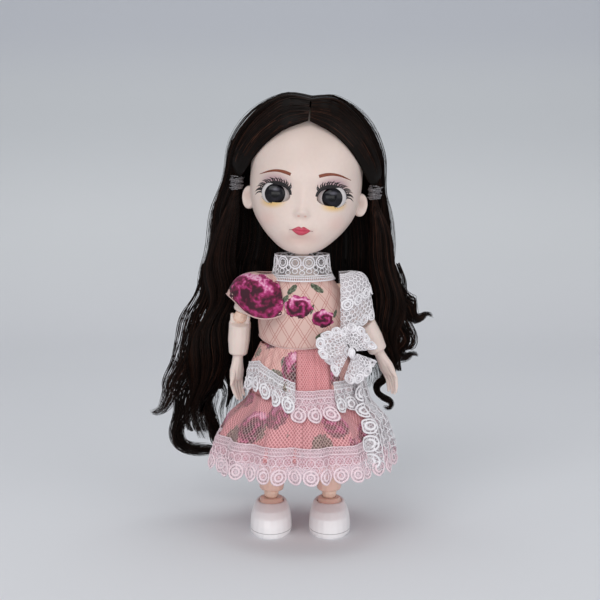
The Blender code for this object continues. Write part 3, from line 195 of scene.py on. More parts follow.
def build(name, verts, faces, finish, body, node=(), uv=None, shade=True, slot=None, tone=None):
    """A piece from points in millimetres; faces may be rows of 3 or 4, or a plain list."""
    mesh = bpy.data.meshes.new(name)
    verts = (np.asarray(verts, float) + STAND) * MM
    if isinstance(faces, np.ndarray):
        count, size = faces.shape
        mesh.vertices.add(len(verts))
        mesh.vertices.foreach_set("co", verts.astype(np.float32).ravel())
        mesh.loops.add(count * size)
        mesh.loops.foreach_set("vertex_index", faces.astype(np.int32).ravel())
        mesh.polygons.add(count)
        mesh.polygons.foreach_set("loop_start", np.arange(0, count * size, size, dtype=np.int32))
        mesh.update(calc_edges=True)
    else:
        mesh.from_pydata([tuple(v) for v in verts], [], faces)
    mesh.validate()
    if shade:
        mesh.shade_smooth()
    if uv is not None:
        layer = mesh.uv_layers.new(name="cloth")
        index = np.empty(len(mesh.loops), np.int32)
        mesh.loops.foreach_get("vertex_index", index)
        layer.data.foreach_set("uv", np.asarray(uv, np.float32)[index].ravel())
    if tone is not None:
        layer = mesh.attributes.new("tone", "FLOAT", "POINT")
        layer.data.foreach_set("value", np.asarray(tone, np.float32))
    mesh.materials.append(finish)
    obj = bpy.data.objects.new(name, mesh)
    bpy.context.scene.collection.objects.link(obj)
    if body:
        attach(obj, body)
    if node:
        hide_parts(*([node] if isinstance(node, str) else node))
    return obj


def grid_faces(rows, columns, closed=False, start=0, flip=False):
    r = np.arange(rows - 1)[:, None]
    c = np.arange(columns if closed else columns - 1)[None, :]
    d = (c + 1) % columns
    a, b, e, f = r * columns + c, r * columns + d, (r + 1) * columns + d, (r + 1) * columns + c
    quads = np.stack([a, b, e, f] if not flip else [a, f, e, b], -1).reshape(-1, 4)
    return quads + start


def thick_sheet(points, wall, closed=False, flip=False):
    """A closed sheet of cloth from a grid of points, thickened inwards along its normals."""
    rows, columns = points.shape[:2]
    if closed:
        du = np.roll(points, -1, 1) - np.roll(points, 1, 1)
    else:
        du = np.gradient(points, axis=1)
    dv = np.gradient(points, axis=0)
    normal = np.cross(du, dv)
    normal /= np.linalg.norm(normal, axis=-1, keepdims=True) + 1e-9
    if flip:
        normal = -normal
    inner = points - normal * wall
    verts = np.concatenate([points.reshape(-1, 3), inner.reshape(-1, 3)])
    n = rows * columns
    faces = [grid_faces(rows, columns, closed, 0, flip), grid_faces(rows, columns, closed, n, not flip)]
    c = np.arange(columns if closed else columns - 1)
    d = (c + 1) % columns
    low = np.stack([c, c + n, d + n, d], -1)
    base = (rows - 1) * columns
    high = np.stack([base + c, base + d, base + d + n, base + c + n], -1)
    faces += [low if not flip else low[:, ::-1], high if not flip else high[:, ::-1]]
    if not closed:
        r = np.arange(rows - 1) * columns
        left = np.stack([r, r + columns, r + columns + n, r + n], -1)
        r = r + columns - 1
        right = np.stack([r, r + n, r + columns + n, r + columns], -1)
        faces += [left if not flip else left[:, ::-1], right if not flip else right[:, ::-1]]
    return verts, np.concatenate(faces)


def tubes(paths, radii, sides=3, deep=(0.0, 1.0, 0.0)):
    """Many closed tubes at once: paths is (strands, points, 3) and radii (strands, points)."""
    paths = np.asarray(paths, float)
    count, points = paths.shape[:2]
    radii = np.broadcast_to(radii, (count, points))
    run = np.gradient(paths, axis=1)
    run /= np.linalg.norm(run, axis=-1, keepdims=True) + 1e-9
    deep = np.broadcast_to(np.asarray(deep, float), run.shape)
    wide = np.cross(deep, run)
    size = np.linalg.norm(wide, axis=-1, keepdims=True)
    wide = np.where(size > 0.05, wide / (size + 1e-9), np.array((1.0, 0.0, 0.0)))
    up = np.cross(run, wide)
    turn = 2 * np.pi * np.arange(sides) / sides
    ring = wide[:, :, None] * np.cos(turn)[:, None] + up[:, :, None] * np.sin(turn)[:, None]
    verts = paths[:, :, None] + ring * radii[:, :, None, None]
    s = np.arange(count)[:, None, None] * points * sides
    p = np.arange(points - 1)[None, :, None] * sides
    k = np.arange(sides)[None, None, :]
    j = (k + 1) % sides
    faces = np.stack([s + p + k, s + p + j, s + p + sides + j, s + p + sides + k], -1).reshape(-1, 4)
    return verts.reshape(-1, 3), faces


def merged(parts):
    verts, faces, start = [], [], 0
    for v, f in parts:
        verts.append(v)
        faces.append(f + start)
        start += len(v)
    return np.concatenate(verts), np.concatenate(faces)


# The head's surface, in the head's own space: front Z, back Z, half width, front Y and back Y
HEAD_RINGS = (
    (-2.0, -0.4, 5.4, -6.4, 6.4),
    (-4.0, 0.0, 7.0, -11.8, 10.8),
    (-4.3, 1.6, 9.0, -15.8, 14.6),
    (-2.8, 4.0, 11.6, -17.6, 17.2),
    (0.6, 8.0, 15.3, -18.5, 19.6),
    (5.6, 12.6, 18.5, -19.0, 21.0),
    (11.4, 17.6, 20.1, -18.9, 21.6),
    (17.4, 22.6, 20.6, -18.8, 21.6),
    (23.4, 27.6, 20.6, -19.1, 21.2),
    (29.4, 32.6, 20.6, -18.7, 20.0),
    (35.4, 37.6, 18.8, -17.2, 17.8),
    (40.8, 42.0, 15.6, -14.2, 14.4),
    (45.0, 45.4, 11.0, -10.0, 10.0),
    (47.4, 47.4, 5.6, -5.0, 5.0),
    (48.0, 48.0, 0.4, -0.4, 0.4),
)
TOP_RING = len(HEAD_RINGS) - 1
EYE_X, EYE_Z = 9.8, 16.4
EYE_HALF = (5.1, 3.95)


def skull(ring, angle):
    """Points on the plain skull; angle runs from +X to the back, so the face is at -90 degrees."""
    row = along(HEAD_RINGS, np.asarray(ring, float) / TOP_RING)
    z_front, z_back, half, front, back = np.moveaxis(row, -1, 0)
    across = np.sin(angle)
    y = (front + back) / 2 + across * (back - front) / 2
    z = z_front + (z_back - z_front) * (across + 1) / 2
    return np.stack([half * np.cos(angle), y, z], -1)


def skull_normal(ring, angle):
    step = 0.02
    up = skull(np.minimum(ring + step, TOP_RING), angle) - skull(np.maximum(ring - step, 0), angle)
    side = skull(ring, angle + step) - skull(ring, angle - step)
    out = np.cross(side, up)
    return out / (np.linalg.norm(out, axis=-1, keepdims=True) + 1e-9)


def bell(x, z, x0, z0, rx, rz):
    return np.exp(-((x - x0) / rx) ** 2 - ((z - z0) / rz) ** 2)


def face_relief(p):
    """How far the modelled face stands out from the plain skull."""
    x, y, z = np.moveaxis(p, -1, 0)
    front = smooth((-y - 6) / 6)
    out = np.zeros_like(x)
    for s in (-1, 1):
        out -= 0.75 * bell(x, z, s * EYE_X, EYE_Z + 0.6, 6.4, 4.6)
        out += 0.70 * bell(x, z, s * 10.8, 6.4, 6.5, 5.0)
        out += 0.45 * bell(x, z, s * 9.6, 22.6, 6.5, 2.6)
        out += 0.75 * bell(x, z, s * 1.75, 9.8, 0.95, 0.85)
        out -= 0.35 * bell(x, z, s * 4.6, 4.0, 0.9, 1.2)
        out -= 0.18 * bell(x, z, s * 1.15, 9.1, 0.5, 0.35)
    out += 0.80 * bell(x, z, 0, 14.6, 2.1, 5.0)
    out += 1.75 * bell(x, z, 0, 10.5, 1.75, 1.55)
    out -= 0.25 * bell(x, z, 0, 8.0, 0.7, 1.0)
    out += 0.55 * bell(x, z, 0, 4.2, 3.4, 2.2)
    out -= 0.40 * bell(x, z, 0, 0.9, 2.6, 0.9)
    out += 0.75 * bell(x, z, 0, -1.8, 4.2, 2.4)
    return out * front


ROWS, COLUMNS = 132, 240
face_rings = TOP_RING * np.linspace(0.0, 1.0, ROWS)[:, None] * np.ones((1, COLUMNS))
face_turns = 2 * np.pi * np.arange(COLUMNS)[None, :] / COLUMNS * np.ones((ROWS, 1))
face_grid = skull(face_rings, face_turns)
face_grid = face_grid + skull_normal(face_rings, face_turns) * face_relief(face_grid)[..., None]
face_quads = grid_faces(ROWS, COLUMNS, closed=True)
face_tree = BVHTree.FromPolygons([Vector(p) for p in face_grid.reshape(-1, 3)],
                                 [list(map(int, f)) for f in face_quads])


def on_face(x, z, lift=0.0):
    """The point of the face in front of x and z, in the head's space, raised by lift."""
    hit, normal, _, _ = face_tree.ray_cast(Vector((x, -60.0, z)), Vector((0, 1, 0)))
    if hit is None:
        return np.array((x, -12.0, z))
    if normal.y > 0:
        normal = -normal
    return np.array(hit + normal * lift)


def eye_edge(count=72):
    """The outline of an eye's opening round its centre; +X is the outer corner."""
    turn = 2 * np.pi * np.arange(count) / count
    x = EYE_HALF[0] * np.cos(turn)
    rise = np.abs(np.sin(turn)) ** 0.9
    z = np.where(np.sin(turn) > 0, 3.75 * rise, -2.95 * rise) - 0.30
    z += -0.25 * np.abs(np.cos(turn)) ** 4
    return x, z


# Skin: pale vinyl, with the painted eye shadow round the eyes and the blush on the cheeks, and painted shade in the ear
# hollows, on the chin and on the forehead under the hair
def eye_spot(s, dx, dz):
    point = on_face(s * (EYE_X + dx), EYE_Z + dz)
    return frame_point(from_head(point))


def face_skin():
    n = Nodes("painted_face_vinyl")
    where = n.place()
    colour = n.mix(n.noise(where, 900, 4), rgb(220, 200, 191), rgb(227, 208, 198))
    for s in (-1, 1):
        blush = n.blob(where, eye_spot(s, 3.2, -9.6), (0.0068, 0.01, 0.0050), (0.0, 1.0))
        colour = n.mix(n.math("MULTIPLY", blush, 0.20), colour, rgb(222, 156, 146))
        shadow = n.blob(where, eye_spot(s, 0.8, 3.4), (0.0082, 0.01, 0.0056), (0.25, 1.0))
        colour = n.mix(n.math("MULTIPLY", shadow, 0.62), colour, rgb(150, 96, 122))
        # painted shade in the hollow of each ear
        ear_hollow_shade = n.blob(where, frame_point(from_head([s * 21.4, 0.0, 14.2])), (0.0019, 0.0026, 0.0024),
                     (0.0, 1.0))
        colour = n.mix(n.math("MULTIPLY", ear_hollow_shade, 0.62), colour, rgb(176, 128, 116))
        gold = n.blob(where, eye_spot(s, 1.2, -3.2), (0.0062, 0.01, 0.0026), (0.25, 1.0))
        colour = n.mix(n.math("MULTIPLY", gold, 0.80), colour, rgb(226, 184, 104))
        nostril = n.blob(where, frame_point(from_head(on_face(s * 1.2, 9.15))), (0.00075, 0.002, 0.0005),
                         (0.1, 1.0))
        colour = n.mix(n.math("MULTIPLY", nostril, 0.55), colour, rgb(206, 120, 92))
    # painted shade on the chin, below the lips
    chin_shade = n.blob(where, frame_point(from_head(on_face(0, 1.2))), (0.011, 0.012, 0.0046), (0.0, 1.0))
    colour = n.mix(n.math("MULTIPLY", chin_shade, 0.62), colour, rgb(196, 158, 148))
    # painted shadow cast by the hair on the forehead; brow here is this shadow, not the eyebrows
    brow = n.blob(where, frame_point(from_head(on_face(0, 35.0))), (0.019, 0.02, 0.012), (0.0, 1.0))
    colour = n.mix(n.math("MULTIPLY", brow, 0.45), colour, rgb(200, 180, 170))
    n.bump(n.noise(where, 2500, 3), 0.04)
    return n.finish(colour, 0.42, Subsurface_Weight=0.06, Subsurface_Scale=0.002, Coat_Weight=0.05,
                    Specular_IOR_Level=0.45)


def limb_skin(name, low, high):
    n = Nodes(name)
    where = n.place()
    colour = n.mix(n.noise(where, 700, 4), rgb(*low), rgb(*high))
    n.bump(n.noise(where, 2500, 3), 0.04)
    return n.finish(colour, 0.40, Subsurface_Weight=0.08, Subsurface_Scale=0.002, Specular_IOR_Level=0.45)


def joint_skin():
    n = Nodes("joint_nylon")
    where = n.place()
    colour = n.mix(n.noise(where, 900, 3), rgb(240, 206, 186), rgb(244, 214, 196))
    return n.finish(colour, 0.35, Specular_IOR_Level=0.5)


FACE = face_skin()
LIMB = limb_skin("limb_vinyl", (225, 206, 197), (231, 213, 204))
LEG = limb_skin("leg_vinyl", (240, 200, 183), (245, 208, 192))
JOINT = joint_skin()


def head_piece():
    """The face and skull as one closed form with its two eye openings cut in."""
    verts = from_head(face_grid.reshape(-1, 3))
    base = len(verts)
    verts = np.concatenate([verts, from_head([[0, 0, -1.4], [0, 0, 48.0]])])
    faces = [tuple(int(i) for i in q) for q in face_quads]
    last = (ROWS - 1) * COLUMNS
    for c in range(COLUMNS):
        d = (c + 1) % COLUMNS
        faces.append((d, c, base))
        faces.append((last + c, last + d, base + 1))
    head = build("face", verts, faces, FACE, "head", ("head_front", "head_back", "neck_cup"),
                 slot="face_skin")
    x, z = eye_edge()
    for s in (-1, 1):
        rings = []
        for y, grow in ((-26.0, 1.0), (-12.6, 1.0)):
            rings.append(np.stack([s * (EYE_X + x * grow), np.full_like(x, y), EYE_Z + z * grow], -1))
        points = from_head(np.concatenate(rings))
        count = len(x)
        sides = [(i, (i + 1) % count, count + (i + 1) % count, count + i) for i in range(count)]
        faces = sides + [tuple(range(count))[::-1], tuple(range(count, 2 * count))]
        if s > 0:
            faces = [face[::-1] for face in faces]
        cutter = build(f"eye_cutter_{s}", points, faces, FACE, None)
        cut = head.modifiers.new("eye", "BOOLEAN")
        cut.operation = "DIFFERENCE"
        cut.solver = "EXACT"
        cut.object = cutter
        apply_modifiers(head)
        bpy.data.objects.remove(cutter, do_unlink=True)
    return head


def apply_modifiers(obj):
    bpy.context.view_layer.update()
    graph = bpy.context.evaluated_depsgraph_get()
    mesh = bpy.data.meshes.new_from_object(obj.evaluated_get(graph))
    obj.modifiers.clear()
    obj.data = mesh
    mesh.validate()
    obj.data.shade_smooth()
    obj.data.set_sharp_from_angle(angle=math.radians(55))


head_piece()


# Eyes: a white with a large charcoal iris, set behind the opening, with a clear gloss and a soft painted highlight on
# the upper iris

def eye_finish(centre, s):
    n = Nodes("glossy_eye_right" if s < 0 else "glossy_eye_left")
    where = n.place()
    iris_at = frame_point(centre)
    off = n.vector("SUBTRACT", where, iris_at)
    flat = n.vector("MULTIPLY", off, (1.0, 0.0, 1.0))
    size = n.vector("LENGTH", flat, out=1)
    share = n.math("DIVIDE", size, 0.00376)
    rays = n.noise(n.vector("SCALE", n.vector("NORMALIZE", flat), None), 9, 2)
    dark = n.ramp(share, [(0.0, rgb(8, 8, 10)), (0.34, rgb(10, 10, 12)), (0.42, rgb(25, 24, 29)),
                          (0.80, rgb(22, 21, 26)),
                          (0.96, rgb(12, 11, 14)), (1.0, rgb(208, 202, 202))])
    # painted highlight on the upper part of the iris
    iris_highlight = n.blob(where, frame_point(np.asarray(centre) + (0.3, 0, 1.7)), (0.0020, 0.004, 0.0010), (0.0, 1.0))
    low = n.blob(where, frame_point(np.asarray(centre) + (0.0, 0, -1.9)), (0.0024, 0.004, 0.0012), (0.0, 1.0))
    colour = n.mix(n.math("MULTIPLY", low, n.math("MULTIPLY", rays, 0.45)), dark, rgb(66, 61, 74))
    colour = n.mix(n.math("MULTIPLY", iris_highlight, 0.35), colour, rgb(160, 157, 170))
    return n.finish(colour, 0.12, Specular_IOR_Level=0.22)


def eyes():
    for side, s in SIDES.items():
        middle = np.array((s * EYE_X, 0.0, EYE_Z))
        rows, columns = 28, 56
        up = np.linspace(-0.5, 0.5, rows)[:, None] * np.pi
        turn = 2 * np.pi * np.arange(columns)[None, :] / columns
        x = 5.4 * np.cos(up) * np.cos(turn)
        z = 4.5 * np.cos(up) * np.sin(turn)
        front = on_face(s * (EYE_X - 1.5), EYE_Z - 4.4)[1]
        y = 3.2 * np.sin(up) * np.ones_like(turn)
        y = front + 0.55 + 3.2 - y
        points = np.stack([middle[0] + x, y, middle[2] + z], -1)
        verts = from_head(points.reshape(-1, 3))
        centre = from_head(middle + (s * 0.40, front, -0.25))
        faces = grid_faces(rows, columns, closed=True)
        build(f"glass_eye_{side}", verts, faces, eye_finish(centre, s), "head", "eye_" + side, slot="eye")


# Painted features: brows, lashes and lips are thin raised strokes on the face

def stroke(points, halves, lift=0.05, columns=5):
    """A painted stroke that follows the face: points are X and Z, halves its half widths."""
    points = np.asarray(points, float)
    count = 26
    t = np.linspace(0, 1, count)
    path = along(points, t)
    wide = along(np.asarray(halves, float)[:, None], t)[:, 0]
    run = np.gradient(path, axis=0)
    run /= np.linalg.norm(run, axis=1, keepdims=True)
    side = np.stack([-run[:, 1], run[:, 0]], 1)
    grid = np.zeros((count, columns, 3))
    for i in range(count):
        for k in range(columns):
            x, z = path[i] + side[i] * wide[i] * (2 * k / (columns - 1) - 1)
            edge = 1 - abs(2 * k / (columns - 1) - 1) ** 2
            grid[i, k] = on_face(x, z, lift * (0.3 + 0.7 * edge))
    return thick_sheet(grid, 0.10, flip=True)


def painted(name, parts, finish):
    verts, faces = merged(parts)
    obj = build(name, from_head(verts), faces, finish, "head")
    return obj


def brow_finish():
    n = Nodes("painted_brow")
    where = n.place()
    colour = n.mix(n.noise(where, 1500, 3), rgb(108, 46, 26), rgb(138, 70, 42))
    return n.finish(colour, 0.5)


def lash_finish():
    n = Nodes("painted_lash")
    where = n.place()
    colour = n.mix(n.noise(where, 1500, 3), rgb(10, 6, 8), rgb(26, 16, 18))
    return n.finish(colour, 0.5)


def lip_finish():
    n = Nodes("painted_lip")
    where = n.place()
    red = n.blob(where, frame_point(from_head(on_face(0, 3.9))), (0.0030, 0.01, 0.0011), (0.0, 1.0))
    colour = n.mix(red, rgb(190, 62, 84), rgb(198, 30, 72))
    return n.finish(colour, 0.28, Coat_Weight=0.3, Coat_Roughness=0.2)


def features():
    brow, lash, lip = brow_finish(), lash_finish(), lip_finish()
    for s in (-1, 1):
        side = "right" if s < 0 else "left"
        arch = [(s * 5.0, 23.5), (s * 7.3, 24.2), (s * 10.0, 24.5), (s * 13.0, 24.0), (s * 16.4, 22.7)]
        painted(f"brow_{side}", [stroke(arch, (0.56, 0.58, 0.46, 0.32, 0.08), 0.06)], brow)
        x, z = eye_edge()
        parts = []
        upper = [i for i in range(len(x)) if z[i] > -0.9]
        upper.sort(key=lambda i: -x[i])
        line = [(s * (EYE_X + x[i] * 1.03), EYE_Z + z[i] * 1.05 + 0.05) for i in upper[::3]]
        halves = [0.40 + 0.36 * math.sin(math.pi * k / (len(line) - 1)) for k in range(len(line))]
        parts.append(stroke(line, halves, 0.10))
        flick = [(s * (EYE_X + 4.5), EYE_Z + 0.4), (s * (EYE_X + 5.4), EYE_Z + 1.0),
                 (s * (EYE_X + 6.4), EYE_Z + 2.2)]
        parts.append(stroke(flick, (0.36, 0.26, 0.05), 0.10))
        for k in range(19):
            turn = math.radians(4 + 146 * k / 18)
            long = 3.1 - 1.2 * k / 18 + 0.30 * math.sin(3.1 * k)
            root = np.array((EYE_HALF[0] * math.cos(turn) * 1.03, EYE_HALF[1] * math.sin(turn) ** 0.9 - 0.25))
            lean = turn - 0.28 + 0.10 * math.sin(2.3 * k)
            mid = root + 0.55 * long * np.array((math.cos(lean), math.sin(lean)))
            tip = root + long * np.array((math.cos(lean - 0.28), math.sin(lean - 0.28)))
            path = [(s * (EYE_X + p[0]), EYE_Z + p[1]) for p in (root, mid, tip)]
            parts.append(stroke(path, (0.30, 0.21, 0.04), 0.12, 3))
        for k in range(7):
            turn = math.radians(-22 - 52 * k / 6)
            root = np.array((EYE_HALF[0] * math.cos(turn) * 1.02, -2.95 * abs(math.sin(turn)) ** 0.9 - 0.5))
            tip = root + 0.75 * np.array((math.cos(turn + 0.2), math.sin(turn + 0.2)))
            path = [(s * (EYE_X + p[0]), EYE_Z + p[1]) for p in (root, (root + tip) / 2, tip)]
            parts.append(stroke(path, (0.10, 0.08, 0.03), 0.07, 3))
        lid = [(s * (EYE_X - 4.3), EYE_Z + 2.6), (s * (EYE_X - 1.8), EYE_Z + 4.9),
               (s * (EYE_X + 1.6), EYE_Z + 5.1),
               (s * (EYE_X + 4.6), EYE_Z + 3.5)]
        parts.append(stroke(lid, (0.04, 0.09, 0.09, 0.03), 0.04, 3))
        painted(f"lashes_{side}", parts, lash)
    top = [(-3.5, 4.15), (-2.1, 4.90), (-0.9, 5.45), (0.0, 5.10), (0.9, 5.45), (2.1, 4.90), (3.5, 4.15)]
    low = [(-3.5, 4.15), (-2.1, 3.10), (-0.9, 2.45), (0.0, 2.35), (0.9, 2.45), (2.1, 3.10), (3.5, 4.15)]
    t = np.linspace(0, 1, 41)
    above, below = along(top, t), along(low, t)
    rows = 13
    grid = np.zeros((rows, 41, 3))
    for r in range(rows):
        share = r / (rows - 1)
        plump = 0.42 * math.sin(math.pi * share) ** 0.7
        seam = -0.34 * math.exp(-((share - 0.52) / 0.09) ** 2)
        for c in range(41):
            x, z = below[c] + (above[c] - below[c]) * share
            fade = math.sin(math.pi * c / 40) ** 0.5
            grid[r, c] = on_face(x, z, 0.04 + (plump + seam) * fade)
    painted("lips", [thick_sheet(grid, 0.12)], lip)
    n = Nodes("lip_seam_paint")
    where = n.place()
    n.finish(n.mix(n.noise(where, 900, 2), rgb(126, 40, 52), rgb(150, 52, 64)), 0.4)
    seam = [(-4.1, 4.05), (-2.6, 4.10), (-1.0, 4.0), (0.0, 3.92), (1.0, 4.0), (2.6, 4.10), (4.1, 4.05)]
    painted("mouth_line", [stroke(seam, (0.03, 0.09, 0.10, 0.10, 0.10, 0.09, 0.03), 0.20)], n.material)


def ears():
    for side, s in SIDES.items():
        rows, columns = 26, 40
        up = np.linspace(-0.5, 0.5, rows)[:, None] * np.pi
        turn = 2 * np.pi * np.arange(columns)[None, :] / columns
        y = 3.1 * np.cos(up) * np.cos(turn)
        z = 4.0 * np.cos(up) * np.sin(turn)
        out = 1.9 * np.sin(up) * np.ones_like(turn)
        hollow = 1.5 * bell(y, z, 0.1, 0.3, 1.6, 2.1) * (out > 0)
        rim = 0.55 * np.exp(-((np.hypot(y / 2.3, z / 3.7) - 1) / 0.2) ** 2) * (out > 0)
        out = out - hollow + rim
        z = z - 0.7 * smooth((-z - 1) / 3) * 0.8
        turn_in = math.radians(58)
        x = out * math.cos(turn_in) + (y + 1.7) * math.sin(turn_in)
        y2 = y * math.cos(turn_in) - out * math.sin(turn_in)
        points = np.stack([s * (18.9 + x), 1.4 + y2, 13.9 + z], -1)
        faces = grid_faces(rows, columns, closed=True, flip=s > 0)
        build(f"ear_{side}", from_head(points.reshape(-1, 3)), faces, FACE, "head", slot="face_skin")


eyes()
features()
ears()


# Limbs and shoes keep the CAD shapes, smoothed; the torso, neck and joints keep theirs unchanged, with new finishes

# height and half width of the painted shade line in the groove above the sole
SOLE_LINE, SOLE_LINE_HALF = 0.0019, 0.00022


def split(n, place):
    node = n.add("ShaderNodeSeparateXYZ")
    n.wire(node.inputs[0], place)
    return node.outputs[0], node.outputs[1], node.outputs[2]


def shoe_finish():
    n = Nodes("white_shoe_vinyl")
    where = n.place()
    colour = n.mix(n.noise(where, 500, 4), rgb(247, 243, 244), rgb(251, 248, 249))
    # a thin dark line round the shoe above the sole: painted shade in the groove between upper and sole
    height = split(n, where)[2]
    off = n.math("ABSOLUTE", n.math("SUBTRACT", height, SOLE_LINE))
    seam = n.math("SUBTRACT", 1.0, n.math("MINIMUM", n.math("DIVIDE", off, SOLE_LINE_HALF), 1.0))
    colour = n.mix(n.math("MULTIPLY", seam, 0.75), colour, rgb(120, 114, 118))
    n.bump(n.noise(where, 1800, 3), 0.05)
    return n.finish(colour, 0.36, Specular_IOR_Level=0.5)


SHOE = shoe_finish()


LIMB_SWELL, SHOE_SWELL = 0.0004, 0.0002


def soften(name, finish, voxel, times, swell=0.0):
    obj = bpy.data.objects.get(name)
    for slot in obj.material_slots:
        slot.material = finish
    if voxel:
        cut = obj.modifiers.new("remesh", "REMESH")
        cut.mode = "VOXEL"
        cut.voxel_size = voxel
        cut.use_smooth_shade = True
        ease = obj.modifiers.new("smooth", "SMOOTH")
        ease.factor = 0.5
        ease.iterations = times
    if swell:
        full = obj.modifiers.new("swell", "DISPLACE")
        full.strength = swell
        full.mid_level = 0.0


def limbs():
    for side in SIDES:
        for name in ("upper_arm", "forearm", "thigh", "shin"):
            soften(f"{name}_{side}", LEG if name == "shin" else LIMB, 0.00018, 9, LIMB_SWELL)
        soften(f"hand_{side}", LIMB, 0.00012, 7)
        soften(f"foot_{side}", LEG, 0.0002, 6)
        for name in ("shoulder_joint", "elbow_joint", "hip_joint", "knee_joint", "ankle_joint"):
            soften(f"{name}_{side}", JOINT, 0.0, 0)
        soften(f"shoe_{side}", SHOE, 0.00022, 16, SHOE_SWELL)
    for name in ("torso_front", "torso_back"):
        soften(name, LIMB, 0.0, 0)
    soften("neck_post", LIMB, 0.0, 0)
    soften("eye_bracket", LIMB, 0.0, 0)


limbs()


# Hair. Guides are rows of points from the parting to the tips; strands are read between them.
# The first part of each guide is in the head's own space, the rest in the doll's.

FRONT_GUIDES = (
    ((0.3, -16.6, 43.2), (8.5, -15.9, 39.6), (15.6, -12.6, 33.8), (19.9, -8.0, 28.3), (22.8, -3.4, 23.6),
     (25.2, 0.9, 20.6)),
    ((0.3, -14.4, 46.6), (8.9, -13.8, 45.4), (17.4, -11.4, 38.6), (22.8, -7.2, 31.4), (25.6, -2.8, 25.2),
     (26.0, 1.6, 20.8)),
    ((0.3, -10.6, 50.2), (9.2, -10.4, 50.2), (18.8, -8.6, 42.8), (25.0, -5.2, 33.8), (27.6, -1.0, 26.2),
     (26.4, 2.6, 21.0)),
)
SIDE_GUIDES = (
    ((0.3, -10.0, 50.4), (9.4, -9.8, 50.6), (19.2, -8.0, 43.4), (26.0, -4.0, 32.6), (28.8, 1.4, 20.4)),
    ((0.3, -1.0, 52.4), (9.6, -1.0, 52.2), (20.6, 0.6, 45.0), (28.4, 3.2, 32.6), (30.6, 7.2, 18.6)),
    ((0.3, 9.5, 51.4), (8.6, 10.0, 50.4), (18.0, 13.0, 42.6), (24.8, 15.8, 31.0), (26.4, 17.6, 17.4)),
    ((0.3, 14.6, 49.6), (6.4, 17.6, 47.0), (12.0, 22.2, 39.6), (15.0, 24.6, 29.0), (15.6, 25.0, 17.0)),
    ((0.0, 17.0, 48.4), (-0.4, 20.6, 45.8), (-0.9, 26.4, 38.0), (-0.9, 29.2, 28.0), (-0.7, 29.2, 17.0)),
)
RIGHT_FALL = (
    ((-31.6, 6.0, 118.0), (-32.4, 8.6, 100.0), (-33.2, 9.6, 86.0), (-34.6, 10.4, 72.0), (-36.6, 11.4, 58.0),
     (-38.4, 12.2, 45.0), (-38.0, 13.0, 34.0)),
    ((-33.6, 10.6, 118.0), (-36.0, 13.0, 100.0), (-37.6, 14.2, 86.0), (-40.6, 15.2, 72.0),
     (-43.6, 15.6, 58.0), (-44.6, 16.6, 45.0), (-41.0, 17.0, 30.0)),
    ((-26.6, 19.0, 118.0), (-28.6, 19.4, 100.0), (-29.6, 19.4, 86.0), (-31.0, 20.0, 72.0),
     (-32.6, 21.0, 58.0), (-33.0, 22.0, 46.0), (-30.0, 23.0, 33.0)),
    ((-14.0, 24.4, 118.0), (-14.6, 23.6, 100.0), (-15.0, 22.0, 86.0), (-16.0, 22.8, 72.0),
     (-17.0, 25.0, 59.0), (-16.0, 27.4, 49.0), (-14.0, 29.0, 39.0)),
    ((0.4, 27.0, 118.0), (0.4, 25.0, 100.0), (0.4, 22.8, 86.0), (0.2, 23.6, 72.0), (0.0, 26.6, 60.0),
     (-1.0, 29.4, 50.0), (-2.0, 31.0, 41.0)),
)
LEFT_FALL = (
    ((30.6, 5.6, 118.0), (31.0, 8.4, 100.0), (32.4, 9.4, 90.0), (34.2, 10.2, 80.0), (35.2, 10.8, 72.0),
     (34.4, 11.2, 64.0), (33.0, 11.6, 57.0)),
    ((32.4, 10.6, 118.0), (34.0, 12.6, 100.0), (36.4, 13.6, 90.0), (38.2, 14.2, 80.0), (38.4, 14.6, 72.0),
     (36.6, 15.0, 63.0), (34.0, 15.4, 55.0)),
    ((26.8, 19.0, 118.0), (28.6, 19.4, 100.0), (30.4, 19.4, 88.0), (31.4, 20.0, 76.0), (31.4, 21.0, 66.0),
     (30.0, 22.0, 58.0), (28.0, 23.0, 50.0)),
    ((14.0, 24.4, 118.0), (14.6, 23.6, 100.0), (15.0, 22.0, 86.0), (16.0, 22.8, 73.0), (16.4, 25.0, 62.0),
     (15.0, 27.4, 53.0), (13.0, 29.0, 44.0)),
    ((-0.4, 27.0, 118.0), (-0.4, 25.0, 100.0), (-0.4, 22.8, 86.0), (-0.4, 23.6, 72.0), (-0.6, 26.6, 60.0),
     (-1.6, 29.4, 50.0), (-2.4, 31.0, 41.0)),
)
TIE_PLACE = (25.6, 2.0, 18.6)
RIGHT_LOCK = (
    (-25.4, 4.8, 122.6, 2.4, 2.0), (-28.2, 7.2, 112.0, 4.8, 3.2), (-30.0, 9.8, 100.0, 6.2, 3.2), (-31.2,
                                                                                                  10.6, 88.0, 6.8, 3.2),
    (-33.6, 11.0, 74.0, 7.4, 3.2), (-36.2, 12.0, 60.0, 7.6, 3.2), (-38.8, 13.0, 47.0, 6.8, 3.0), (-40.0,
                                                                                                  14.0, 34.0, 4.2, 2.0),
)
LEFT_LOCK = (
    (27.6, 3.6, 118.6, 2.4, 2.0), (29.6, 7.2, 110.0, 4.4, 3.0), (30.8, 9.4, 100.0, 5.4, 3.2), (31.8, 10.4,
                                                                                               90.0, 5.8, 3.2),
    (33.2, 11.0, 80.0, 5.8, 3.2), (34.4, 11.0, 73.0, 5.2, 3.0), (34.4, 11.2, 66.0, 4.2, 2.6), (33.4, 11.6,
                                                                                               58.0, 2.6, 2.0),
)
SPLIT_Z = 100.0
WAVE_RIGHT, WAVE_LEFT, WAVE_LONG = 2.3, 1.3, 27.0


